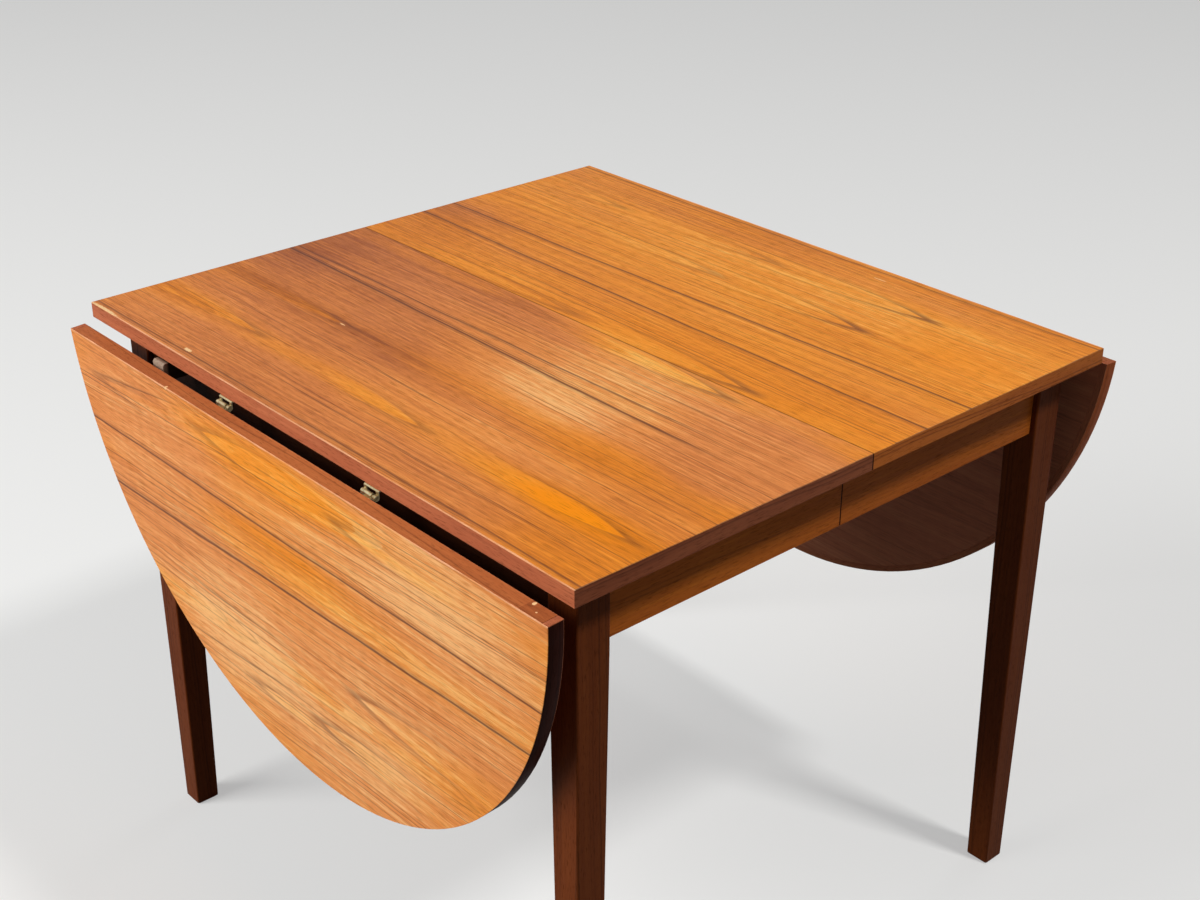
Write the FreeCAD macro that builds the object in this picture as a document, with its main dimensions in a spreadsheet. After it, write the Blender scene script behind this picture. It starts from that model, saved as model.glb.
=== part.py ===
import FreeCAD, Part
import math
import os
import re
import Sketcher

# Extending dining table with two half-round drop leaves, in millimetres.
# X runs along the extension, Y along the seam and the hinge lines, Z is up.
# The origin lies on the floor under the middle of the closed top.
# The near half stands at -X. The far half is the same half turned by 180 degrees about Z.
# Front is the -Y side of the table and back the +Y side.

DIMENSIONS = {
    # Top
    "table_height": 730,
    "top_length": 796,
    "top_width": 884,
    "top_thickness": 19,
    "veneer": 0.8,
    "lipping": 8,
    "seam_gap": 0.6,
    # Legs
    "leg_inset_end": 28.7,
    "leg_inset_side": 30.4,
    "leg_head": 42,
    "leg_foot": 31.5,
    "leg_square_below_apron": 6,
    "leg_arris": 2.5,
    "foot_chamfer": 2,
    # Aprons and their tenons
    "apron_height": 80,
    "apron_thickness": 20,
    "apron_setback": 7,
    "tenon_length": 19,
    "tenon_thickness": 8,
    "tenon_shoulder": 12,
    "glue_gap": 0.15,
    # Corner braces and cleats
    "brace_thickness": 20,
    "brace_height": 45,
    "brace_gap": 2,
    "cleat_size": 20,
    "end_cleat_length": 200,
    "side_cleat_length": 140,
    "side_cleat_gap": 40,
    # Leaves
    "leaf_reach": 423,
    "leaf_gap": 1.2,
    "leaf_lean": 3,
    # Hinges
    "hinge_spacing": 274,
    "hinge_width": 25,
    "hinge_plate": 1.5,
    "hinge_bend": 1.2,
    "hinge_plate_margin": 5,
    "leaf_plate_reach": 34,
    "pivot_out": 4,
    "pivot_drop": 7.7,
    "pin_diameter": 3.5,
    "pin_press": 0.02,
    "pin_play": 0.06,
    "end_knuckle": 4.5,
    "knuckle_side_gap": 0.4,
    "knuckle_play": 2.8,
    # Hinge screws
    "hinge_screw_shank": 3.2,
    "hinge_screw_head": 6.2,
    "hinge_screw_depth": 11,
    "hinge_screw_margin": 6.5,
    "hinge_screw_row": 11,
    "hinge_screw_tail": 9,
    "screw_fit": 0.05,
    # Lopers and their keepers
    "loper_spacing": 548,
    "loper_width": 23,
    "loper_height": 22,
    "loper_length": 290,
    "loper_heel_length": 25,
    "loper_heel_depth": 10,
    "loper_clearance": 0.5,
    "loper_reach": 7.6,
    "loper_tip_chamfer": 2.5,
    "keeper_distance": 60,
    "keeper_length": 40,
    "keeper_wall": 14,
    "keeper_floor": 14,
    # Extension runners
    "runner_spacing": 330,
    "runner_width": 24,
    "runner_height": 38,
    "runner_end_gap": 4,
    "runner_tip_gap": 8,
    "runner_relief": 1,
    "tongue_length": 150,
    "tongue_depth": 8,
    "tongue_root": 9,
    "tongue_tip": 14,
    "groove_stop": 10,
    "slide_clearance": 0.3,
    "groove_clearance": 0.45,
    # Screws of the runners and keepers
    "frame_screw_shank": 4.5,
    "frame_screw_head": 8.6,
    "frame_screw_head_height": 3,
    "frame_screw_grip": 32,
    "frame_screw_depth": 12,
    "frame_screw_margin": 40,
    "counterbore_fit": 0.4,
    # Pegs in the seam
    "peg_diameter": 8,
    "peg_depth": 18,
    "outer_peg_offset": 300,
    "inner_peg_offset": 100,
    "peg_bottom_gap": 1,
}

# Heights and distances worked out from the driving dimensions, as expressions.
UNDERSIDE = "(table_height - top_thickness)"
CORE_TOP = "(table_height - veneer)"
END_EDGE = "(top_length / 2)"
SIDE_EDGE = "(top_width / 2)"
SEAM_FACE = "(seam_gap / 2)"
LEG_END = f"({END_EDGE} - leg_inset_end)"
LEG_SIDE = f"({SIDE_EDGE} - leg_inset_side)"
LEG_INNER_END = f"({LEG_END} - leg_head)"
LEG_INNER_SIDE = f"({LEG_SIDE} - leg_head)"
APRON_END = f"({LEG_END} - apron_setback)"
APRON_SIDE = f"({LEG_SIDE} - apron_setback)"
APRON_INNER_END = f"({APRON_END} - apron_thickness)"
APRON_INNER_SIDE = f"({APRON_SIDE} - apron_thickness)"
APRON_BOTTOM = f"({UNDERSIDE} - apron_height)"
TENON_INSET = "((apron_thickness - tenon_thickness) / 2)"
TENON_BOTTOM = f"({APRON_BOTTOM} + tenon_shoulder)"
TENON_TOP = f"({UNDERSIDE} - tenon_shoulder)"
KNUCKLE_RADIUS = "(pin_diameter / 2 + hinge_plate)"
PIVOT_X = f"({END_EDGE} + pivot_out)"
PIVOT_Z = f"({UNDERSIDE} - pivot_drop)"
LEAF_EDGE = "(pivot_out - leaf_gap)"
LEAF_CENTRE = f"({LEAF_EDGE} + {SIDE_EDGE} - leaf_reach)"
LEAF_CORE_TOP = "(pivot_drop + top_thickness - veneer)"
LEAF_FACE = "(pivot_drop + top_thickness)"
LOPER_TOP = f"({UNDERSIDE} - loper_clearance)"
LOPER_BOTTOM = f"({LOPER_TOP} - loper_height)"
KEEPER_CHANNEL = "(loper_width / 2 + loper_clearance)"
KEEPER_OUTER = f"({KEEPER_CHANNEL} + keeper_wall)"
KEEPER_BOTTOM = f"({LOPER_BOTTOM} - loper_clearance - keeper_floor)"
RUNNER_END = f"({APRON_INNER_END} - runner_end_gap)"
RUNNER_TIP = f"({RUNNER_END} - runner_tip_gap)"
RUNNER_BOTTOM = f"({UNDERSIDE} - runner_height)"
RUNNER_MIDDLE = f"({UNDERSIDE} - runner_height / 2)"
TONGUE_ROW = "-((runner_spacing + runner_width) / 2)"
GROOVE_ROW = "((runner_spacing - runner_width) / 2)"
PEG_HEIGHT = f"({UNDERSIDE} + (top_thickness - veneer) / 2)"

HALVES = {"near": 0, "far": 180}
FRONT_AND_BACK = (-1, 1)
RUNNER_SCREWS = 3

# How far a rounded arris stands out beyond its chord, as a share of its radius.
ARRIS_BULGE = 1 - math.sqrt(0.5)

Z_AXIS = FreeCAD.Vector(0, 0, 1)
Y_AXIS = FreeCAD.Vector(0, 1, 0)

# Which way each plane's normal points along its own axis.
NORMALS = {"XY_Plane": 1, "YZ_Plane": 1, "XZ_Plane": -1}

os.makedirs("parts", exist_ok=True)
doc = FreeCAD.newDocument("extending_table")
dims = doc.addObject("Spreadsheet::Sheet", "dims")
for row, (alias, value) in enumerate(DIMENSIONS.items(), 1):
    dims.set(f"A{row}", alias)
    dims.set(f"B{row}", str(value))
    dims.setAlias(f"B{row}", alias)
doc.recompute()

nodes = []


# Binding sizes to the sheet


def bound(expression):
    """Point each size's name in an expression at its cell."""

    def cell(word):
        return f"dims.{word.group()}" if word.group() in DIMENSIONS else word.group()

    return re.sub(r"[a-z_]+", cell, expression)


def value_of(expression):
    """Work out an expression with the sheet's present numbers."""
    return float(dims.evalExpression(bound(expression)))


def bind(thing, **expressions):
    """Bind properties of a document object to expressions."""
    for name, expression in expressions.items():
        thing.setExpression(name.replace("__", "."), bound(expression))


def span(way, inner, outer):
    """The low and high end of a stretch that lies on the front (-1) or back (+1) side."""
    return (inner, outer) if way > 0 else (f"-({outer})", f"-({inner})")


def around(middle, half):
    """The low and high end of a stretch about a middle."""
    return f"({middle} - {half})", f"({middle} + {half})"


# Sketches


def new_sketch(body, plane, offset):
    """A sketch on one of the body's own planes, moved along the plane's normal."""
    sketch = body.newObject("Sketcher::SketchObject", f"{body.Name}_sketch")
    support = next(feature for feature in body.Origin.OriginFeatures if feature.Role == plane)
    sketch.AttachmentSupport = (support, [""])
    sketch.MapMode = "FlatFace"
    bind(sketch, AttachmentOffset__Base__z=offset)
    return sketch


def fix(sketch, kind, expression, *references):
    """Add a dimension to a sketch and bind it."""
    index = sketch.addConstraint(Sketcher.Constraint(kind, *references, value_of(expression)))
    name = f"size_{index}"
    sketch.renameConstraint(index, name)
    sketch.setExpression(f"Constraints.{name}", bound(expression))


def fix_point(sketch, geometry, point, x, y):
    """Hold one point of a sketch at a place measured from the origin."""
    fix(sketch, "DistanceX", x, -1, 1, geometry, point)
    fix(sketch, "DistanceY", y, -1, 1, geometry, point)


def draw_polygon(sketch, corners):
    """Draw a closed polygon through corners given as pairs of expressions."""
    places = [FreeCAD.Vector(value_of(x), value_of(y), 0) for x, y in corners]
    first = sketch.GeometryCount
    count = len(corners)
    for index in range(count):
        sketch.addGeometry(Part.LineSegment(places[index], places[(index + 1) % count]), False)
    for index in range(count):
        following = first + (index + 1) % count
        sketch.addConstraint(Sketcher.Constraint("Coincident", first + index, 2, following, 1))
    for index, (x, y) in enumerate(corners):
        fix_point(sketch, first + index, 1, x, y)


def draw_circle(sketch, x, y, radius):
    """Draw a circle about a place given as expressions."""
    centre = FreeCAD.Vector(value_of(x), value_of(y), 0)
    index = sketch.addGeometry(Part.Circle(centre, Z_AXIS, value_of(radius)), False)
    fix_point(sketch, index, 3, x, y)
    fix(sketch, "Radius", radius, index)


def draw_arc(sketch, chord, centre, radius):
    """Draw an arc about a place on the X axis, from the back end of a chord round -X to its front end."""
    reach = value_of(f"{centre} - {chord}")
    turn = math.acos(-reach / value_of(radius))
    circle = Part.Circle(FreeCAD.Vector(value_of(centre), 0, 0), Z_AXIS, value_of(radius))
    index = sketch.addGeometry(Part.ArcOfCircle(circle, turn, 2 * math.pi - turn), False)
    sketch.addConstraint(Sketcher.Constraint("PointOnObject", index, 3, -1))
    fix(sketch, "DistanceX", centre, -1, 1, index, 3)
    fix(sketch, "Radius", radius, index)
    return index


def draw_chord(sketch, chord, from_arc, from_point, to_arc, to_point):
    """Join two arc ends with a straight line that lies on the chord."""
    start = sketch.getPoint(from_arc, from_point)
    index = sketch.addGeometry(Part.LineSegment(start, sketch.getPoint(to_arc, to_point)), False)
    sketch.addConstraint(Sketcher.Constraint("Coincident", from_arc, from_point, index, 1))
    sketch.addConstraint(Sketcher.Constraint("Coincident", index, 2, to_arc, to_point))
    sketch.addConstraint(Sketcher.Constraint("Vertical", index))
    fix(sketch, "DistanceX", chord, -1, 1, index, 1)


def rectangle(x_span, y_span):
    """The four corners of a rectangle."""
    (left, right), (low, high) = x_span, y_span
    return [(left, low), (right, low), (right, high), (left, high)]


# Features


def new_body(label):
    """An empty body for one piece."""
    return doc.addObject("PartDesign::Body", label)


def start_pad(body, plane, low, high):
    """A sketch placed so that a pad of it fills the stretch from low to high along the plane's axis."""
    return new_sketch(body, plane, low if NORMALS[plane] > 0 else f"-({high})")


def start_pocket(body, plane, low, high):
    """A sketch placed so that a pocket of it empties the stretch from low to high."""
    return new_sketch(body, plane, high if NORMALS[plane] > 0 else f"-({low})")


def finish_pad(body, sketch, low, high):
    """Raise a pad from a sketch."""
    pad = body.newObject("PartDesign::Pad", f"{body.Name}_pad")
    pad.Profile = sketch
    bind(pad, Length=f"{high} - ({low})")
    sketch.Visibility = False
    doc.recompute()
    return pad


def finish_pocket(body, sketch, low, high):
    """Cut a pocket and make sure that it took something away."""
    before = body.Shape.Volume
    pocket = body.newObject("PartDesign::Pocket", f"{body.Name}_pocket")
    pocket.Profile = sketch
    bind(pocket, Length=f"{high} - ({low})")
    sketch.Visibility = False
    doc.recompute()
    if not 0 < body.Shape.Volume < before:
        raise RuntimeError(f"a pocket of {body.Label} cuts nothing")
    return pocket


def pad_polygon(body, plane, corners, low, high):
    """Add a prism with straight sides."""
    sketch = start_pad(body, plane, low, high)
    draw_polygon(sketch, corners)
    return finish_pad(body, sketch, low, high)


def pocket_polygon(body, plane, corners, low, high):
    """Cut a prism with straight sides away."""
    sketch = start_pocket(body, plane, low, high)
    draw_polygon(sketch, corners)
    return finish_pocket(body, sketch, low, high)


def pad_circle(body, plane, circle, low, high):
    """Add a round bar, given by its two coordinates and its radius."""
    sketch = start_pad(body, plane, low, high)
    draw_circle(sketch, *circle)
    return finish_pad(body, sketch, low, high)


def drill(body, plane, circles, low, high):
    """Cut round holes, each given by its two coordinates and its radius."""
    sketch = start_pocket(body, plane, low, high)
    for circle in circles:
        draw_circle(sketch, *circle)
    return finish_pocket(body, sketch, low, high)


# Nodes


def keep(thing, half, label):
    """Label a finished piece as a node and turn it into its half of the table."""
    thing.Label = label
    thing.Placement = FreeCAD.Placement(thing.Placement.Base, FreeCAD.Rotation(Z_AXIS, HALVES[half]))
    nodes.append(thing)


def keep_on_leaf(thing, half, label):
    """Label a piece drawn about the hinge pin with its leaf raised, and let it hang as the leaf does."""
    turn = FreeCAD.Rotation(Z_AXIS, HALVES[half])
    hang = FreeCAD.Rotation(Y_AXIS, -(90 + dims.leaf_lean))
    thing.Label = label
    thing.Placement = FreeCAD.Placement(FreeCAD.Vector(), turn * hang)
    sign = "-" if half == "near" else ""
    bind(thing, Placement__Base__x=f"{sign}{PIVOT_X}", Placement__Base__z=PIVOT_Z)
    nodes.append(thing)


def group(label, pieces):
    """Hold alike pieces together as one node of separate solids."""
    compound = doc.addObject("Part::Compound", label)
    compound.Links = pieces
    return compound


def end_name(half, way):
    """Front or back as seen on the whole table: the far half is turned round."""
    side = way if half == "near" else -way
    return "back" if side > 0 else "front"


def screw(label, x, y, seat, sizes):
    """A wood screw that points up, with its head below the face that it seats on."""
    shank_diameter, head_diameter, head_height, length = sizes
    shank = doc.addObject("Part::Cylinder", f"{label}_shank")
    bind(shank, Radius=f"{shank_diameter} / 2", Height=length)
    bind(shank, Placement__Base__x=x, Placement__Base__y=y, Placement__Base__z=seat)
    head = doc.addObject("Part::Cone", f"{label}_head")
    bind(head, Radius1=f"{head_diameter} / 2", Radius2=f"{shank_diameter} / 2", Height=head_height)
    bind(head, Placement__Base__x=x, Placement__Base__y=y, Placement__Base__z=seat)
    whole = doc.addObject("Part::Fuse", label)
    whole.Base = head
    whole.Tool = shank
    return whole


# Places that several pieces share


def hinge_middle(way):
    """The middle of a hinge along Y."""
    return f"({way} * hinge_spacing / 2)"


def loper_middle(way):
    """The middle of a loper along Y."""
    return f"({way} * loper_spacing / 2)"


def runner_screw_places(row):
    """Where a runner's screws go up into the top, along the runner's middle line."""
    first = f"({RUNNER_END} - frame_screw_margin)"
    step = f"(({RUNNER_END} - 2 * frame_screw_margin) / {RUNNER_SCREWS - 1})"
    return [(f"-({first} - {index} * {step})", row) for index in range(RUNNER_SCREWS)]


def keeper_screw_places(way):
    """Where a keeper's two screws go up into the top, one through each wall."""
    x = f"-({APRON_INNER_END} - keeper_distance - keeper_length / 2)"
    offset = f"({KEEPER_CHANNEL} + keeper_wall / 2)"
    return [(x, f"({loper_middle(way)} + {side} * {offset})") for side in FRONT_AND_BACK]


def frame_screw_places():
    """Where all the screws of the runners and keepers go up into the top."""
    places = runner_screw_places(TONGUE_ROW) + runner_screw_places(GROOVE_ROW)
    return places + [place for way in FRONT_AND_BACK for place in keeper_screw_places(way)]


def plate_screw_places(way, start, heading, reach):
    """Where a hinge plate's three screws go, for a plate that runs from start towards -X (-1) or +X (+1)."""
    row = f"({start} + {heading} * hinge_screw_row)"
    tail = f"({start} + {heading} * ({reach} - hinge_screw_tail))"
    side = "(hinge_width / 2 - hinge_screw_margin)"
    middle = hinge_middle(way)
    return [(row, f"({middle} - {side})"), (row, f"({middle} + {side})"), (tail, middle)]


TOP_PLATE_REACH = "(leg_inset_end + apron_setback - hinge_plate_margin)"
TOP_PLATE_LIP = f"(pivot_out - {KNUCKLE_RADIUS} + hinge_plate)"
LEAF_PLATE_START = f"-({KNUCKLE_RADIUS} - hinge_plate)"


def top_plate_screws(way):
    """Places of a top plate's screws, from the end of the top inwards."""
    return plate_screw_places(way, f"-{END_EDGE}", 1, TOP_PLATE_REACH)


def leaf_plate_screws(way):
    """Places of a leaf plate's screws, from the pin outwards, with the leaf raised."""
    return plate_screw_places(way, LEAF_PLATE_START, -1, "leaf_plate_reach")


# Top halves


def build_top(half):
    """The veneered panel of one half and the solid lippings round it."""
    core_end = f"-({END_EDGE} - lipping)"
    core_seam = f"-({SEAM_FACE} + lipping)"
    core_side = f"({SIDE_EDGE} - lipping)"
    panel = new_body(f"{half}_top_panel")
    core = rectangle((core_end, core_seam), (f"-{core_side}", core_side))
    pad_polygon(panel, "XY_Plane", core, UNDERSIDE, CORE_TOP)
    face = rectangle((f"-{END_EDGE}", f"-{SEAM_FACE}"), (f"-{SIDE_EDGE}", SIDE_EDGE))
    pad_polygon(panel, "XY_Plane", face, CORE_TOP, "table_height")
    frame_hole = "(frame_screw_shank / 2 + screw_fit)"
    frame_holes = [(x, y, frame_hole) for x, y in frame_screw_places()]
    drill(panel, "XY_Plane", frame_holes, UNDERSIDE, f"({UNDERSIDE} + frame_screw_depth)")
    hinge_hole = "(hinge_screw_shank / 2 + screw_fit)"
    hinge_holes = [(x, y, hinge_hole) for way in FRONT_AND_BACK for x, y in top_plate_screws(way)]
    drill(panel, "XY_Plane", hinge_holes, UNDERSIDE, f"({UNDERSIDE} + hinge_screw_depth)")
    drill(panel, "YZ_Plane", peg_holes(), f"-({SEAM_FACE} + peg_depth + peg_bottom_gap)", core_seam)
    keep(panel, half, panel.Name)

    end_strip = new_body(f"{half}_end_lipping")
    mitred = [
        (f"-{END_EDGE}", f"-{SIDE_EDGE}"),
        (core_end, f"-{core_side}"),
        (core_end, core_side),
        (f"-{END_EDGE}", SIDE_EDGE),
    ]
    pad_polygon(end_strip, "XY_Plane", mitred, UNDERSIDE, CORE_TOP)
    keep(end_strip, half, end_strip.Name)

    joint_strip = new_body(f"{half}_joint_lipping")
    straight = rectangle((core_seam, f"-{SEAM_FACE}"), (f"-{core_side}", core_side))
    pad_polygon(joint_strip, "XY_Plane", straight, UNDERSIDE, CORE_TOP)
    drill(joint_strip, "YZ_Plane", peg_holes(), core_seam, f"-{SEAM_FACE}")
    keep(joint_strip, half, joint_strip.Name)

    for way in FRONT_AND_BACK:
        side_strip = new_body(f"{half}_{end_name(half, way)}_lipping")
        one_mitre = [
            (f"-{END_EDGE}", f"{way} * {SIDE_EDGE}"),
            (f"-{SEAM_FACE}", f"{way} * {SIDE_EDGE}"),
            (f"-{SEAM_FACE}", f"{way} * {core_side}"),
            (core_end, f"{way} * {core_side}"),
        ]
        pad_polygon(side_strip, "XY_Plane", one_mitre, UNDERSIDE, CORE_TOP)
        keep(side_strip, half, side_strip.Name)


def peg_holes():
    """Glued holes for this half's own pegs at the back, and wider ones at the front for the other half's."""
    glued = "(peg_diameter / 2 + screw_fit)"
    loose = "(peg_diameter / 2 + slide_clearance)"
    offsets = ("outer_peg_offset", "inner_peg_offset")
    own = [(offset, PEG_HEIGHT, glued) for offset in offsets]
    return own + [(f"-{offset}", PEG_HEIGHT, loose) for offset in offsets]


def build_pegs(half):
    """Pegs that stand out of the seam face and line the halves up."""
    pegs = []
    for offset in ("outer_peg_offset", "inner_peg_offset"):
        peg = doc.addObject("Part::Cylinder", f"{half}_{offset}_peg")
        peg.Placement = FreeCAD.Placement(FreeCAD.Vector(), FreeCAD.Rotation(Y_AXIS, 90))
        bind(peg, Radius="peg_diameter / 2", Height=f"2 * peg_depth + {SEAM_FACE}")
        bind(peg, Placement__Base__x=f"-({SEAM_FACE} + peg_depth)", Placement__Base__y=offset)
        bind(peg, Placement__Base__z=PEG_HEIGHT)
        pegs.append(peg)
    keep(group(f"{half}_seam_pegs", pegs), half, f"{half}_seam_pegs")


# Legs and aprons


def draw_rounded_square(sketch, corner, way, width):
    """Draw a leg's section: a square that runs inwards from its outer corner, with rounded arrises."""
    corner_x, corner_y = corner
    steps = ("0", "leg_arris", f"({width} - leg_arris)", width)
    x_steps = [f"({corner_x} + {step})" for step in steps]
    y_steps = [f"({corner_y} - {way} * {step})" for step in steps]
    order = [(1, 0), (2, 0), (3, 1), (3, 2), (2, 3), (1, 3), (0, 2), (0, 1)]
    points = [(x_steps[column], y_steps[line]) for column, line in order]
    places = [FreeCAD.Vector(value_of(x), value_of(y), 0) for x, y in points]
    middle = (places[0] + places[4]) / 2
    count = len(points)
    for index, place in enumerate(places):
        following = places[(index + 1) % count]
        if index % 2 == 0:
            sketch.addGeometry(Part.LineSegment(place, following), False)
            continue
        bulge = (place + following) / 2 - middle
        between = middle + bulge * (1 + ARRIS_BULGE * dims.leg_arris / bulge.Length)
        sketch.addGeometry(Part.Arc(place, between, following), False)
    for index in range(0, count, 2):
        fix_point(sketch, index, 1, *points[index])
        fix_point(sketch, index, 2, *points[index + 1])
        arc = index + 1
        from_start, from_end = (sketch.getPoint(arc, point).distanceToPoint(places[arc]) for point in (1, 2))
        first, last = (1, 2) if from_start < from_end else (2, 1)
        sketch.addConstraint(Sketcher.Constraint("Coincident", index, 2, arc, first))
        sketch.addConstraint(Sketcher.Constraint("Coincident", arc, last, (index + 2) % count, 1))
        fix(sketch, "Radius", "leg_arris", arc)


def build_leg(half, way):
    """A square leg, mortised at its head, whose inner faces taper below the apron."""
    leg = new_body(f"{half}_{end_name(half, way)}_leg")
    taper_start = f"({APRON_BOTTOM} - leg_square_below_apron)"
    sections = []
    for height, inset, width in (
        ("0", "foot_chamfer", "(leg_foot - 2 * foot_chamfer)"),
        ("foot_chamfer", "0", "leg_foot"),
        (taper_start, "0", "leg_head"),
        (UNDERSIDE, "0", "leg_head"),
    ):
        section = new_sketch(leg, "XY_Plane", height)
        corner = (f"({inset} - {LEG_END})", f"({way} * ({LEG_SIDE} - {inset}))")
        draw_rounded_square(section, corner, way, width)
        section.Visibility = False
        sections.append(section)
    loft = leg.newObject("PartDesign::AdditiveLoft", f"{leg.Name}_loft")
    loft.Profile = sections[0]
    loft.Sections = sections[1:]
    loft.Ruled = True
    doc.recompute()
    mortise_depth = "(tenon_length + glue_gap)"
    z_span = (f"{TENON_BOTTOM} - glue_gap", f"{TENON_TOP} + glue_gap")
    side_mortise = span(way, f"({APRON_INNER_SIDE} + {TENON_INSET} - glue_gap)",
                        f"({APRON_SIDE} - {TENON_INSET} + glue_gap)")
    pocket_polygon(leg, "YZ_Plane", rectangle(side_mortise, z_span),
                   f"-({LEG_INNER_END} + {mortise_depth})", f"-{LEG_INNER_END}")
    end_mortise = (f"-({APRON_END} - {TENON_INSET} + glue_gap)",
                   f"-({APRON_INNER_END} + {TENON_INSET} - glue_gap)")
    mortise_low, mortise_high = span(way, LEG_INNER_SIDE, f"({LEG_INNER_SIDE} + {mortise_depth})")
    pocket_polygon(leg, "XZ_Plane", rectangle(end_mortise, z_span), mortise_low, mortise_high)
    keep(leg, half, leg.Name)


def build_side_apron(half, way):
    """Half of a long apron, from a leg to the seam, with a tenon in the leg."""
    apron = new_body(f"{half}_{end_name(half, way)}_apron")
    y_span = span(way, APRON_INNER_SIDE, APRON_SIDE)
    board = rectangle((f"-{LEG_INNER_END}", f"-{SEAM_FACE}"), y_span)
    pad_polygon(apron, "XY_Plane", board, APRON_BOTTOM, UNDERSIDE)
    tenon_y = span(way, f"({APRON_INNER_SIDE} + {TENON_INSET})", f"({APRON_SIDE} - {TENON_INSET})")
    tenon = rectangle((f"-({LEG_INNER_END} + tenon_length)", f"-{LEG_INNER_END}"), tenon_y)
    pad_polygon(apron, "XY_Plane", tenon, TENON_BOTTOM, TENON_TOP)
    keep(apron, half, apron.Name)


def build_end_apron(half):
    """The short apron under the hinges, tenoned at both ends and notched for the lopers."""
    apron = new_body(f"{half}_end_apron")
    x_span = (f"-{APRON_END}", f"-{APRON_INNER_END}")
    board = rectangle(x_span, (f"-{LEG_INNER_SIDE}", LEG_INNER_SIDE))
    pad_polygon(apron, "XY_Plane", board, APRON_BOTTOM, UNDERSIDE)
    tenon_x = (f"-({APRON_END} - {TENON_INSET})", f"-({APRON_INNER_END} + {TENON_INSET})")
    tenon_tip = f"({LEG_INNER_SIDE} + tenon_length)"
    tenons = rectangle(tenon_x, (f"-{tenon_tip}", tenon_tip))
    pad_polygon(apron, "XY_Plane", tenons, TENON_BOTTOM, TENON_TOP)
    for way in FRONT_AND_BACK:
        across = around(loper_middle(way), KEEPER_CHANNEL)
        notch = rectangle(across, (f"{LOPER_BOTTOM} - loper_clearance", UNDERSIDE))
        pocket_polygon(apron, "YZ_Plane", notch, *x_span)
    keep(apron, half, apron.Name)


def build_braces(half):
    """Diagonal braces between the aprons behind each leg."""
    braces = []
    inner = "(apron_setback + apron_thickness)"
    short = f"(2 * leg_head + brace_gap - {inner})"
    long = f"({short} + brace_thickness * sqrt(2))"
    places = [(inner, short), (short, inner), (long, inner), (inner, long)]
    for way in FRONT_AND_BACK:
        brace = new_body(f"{half}_{end_name(half, way)}_brace")
        corners = [(f"-({LEG_END} - {along})", f"{way} * ({LEG_SIDE} - {across})")
                   for along, across in places]
        pad_polygon(brace, "XY_Plane", corners, f"{UNDERSIDE} - brace_height", UNDERSIDE)
        braces.append(brace)
    keep(group(f"{half}_corner_braces", braces), half, f"{half}_corner_braces")


def build_cleats(half):
    """Square strips that hold the top on the aprons."""
    low = f"({UNDERSIDE} - cleat_size)"
    end_cleat = new_body(f"{half}_end_cleat")
    strip = rectangle((f"-{APRON_INNER_END}", f"-({APRON_INNER_END} - cleat_size)"),
                      ("-end_cleat_length / 2", "end_cleat_length / 2"))
    pad_polygon(end_cleat, "XY_Plane", strip, low, UNDERSIDE)
    cleats = [end_cleat]
    for way in FRONT_AND_BACK:
        side_cleat = new_body(f"{half}_{end_name(half, way)}_cleat")
        strip = rectangle(("-(side_cleat_gap + side_cleat_length)", "-side_cleat_gap"),
                          span(way, f"({APRON_INNER_SIDE} - cleat_size)", APRON_INNER_SIDE))
        pad_polygon(side_cleat, "XY_Plane", strip, low, UNDERSIDE)
        cleats.append(side_cleat)
    keep(group(f"{half}_top_cleats", cleats), half, f"{half}_top_cleats")


# Extension runners


def bore(body, places, bottom):
    """Bore a piece that hangs under the top for its screws, with room for their heads from below."""
    hole = "(frame_screw_shank / 2 + screw_fit)"
    drill(body, "XY_Plane", [(x, y, hole) for x, y in places], bottom, UNDERSIDE)
    head = "(frame_screw_head / 2 + counterbore_fit)"
    head_room = f"({UNDERSIDE} - frame_screw_grip + frame_screw_head_height)"
    drill(body, "XY_Plane", [(x, y, head) for x, y in places], bottom, head_room)


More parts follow.
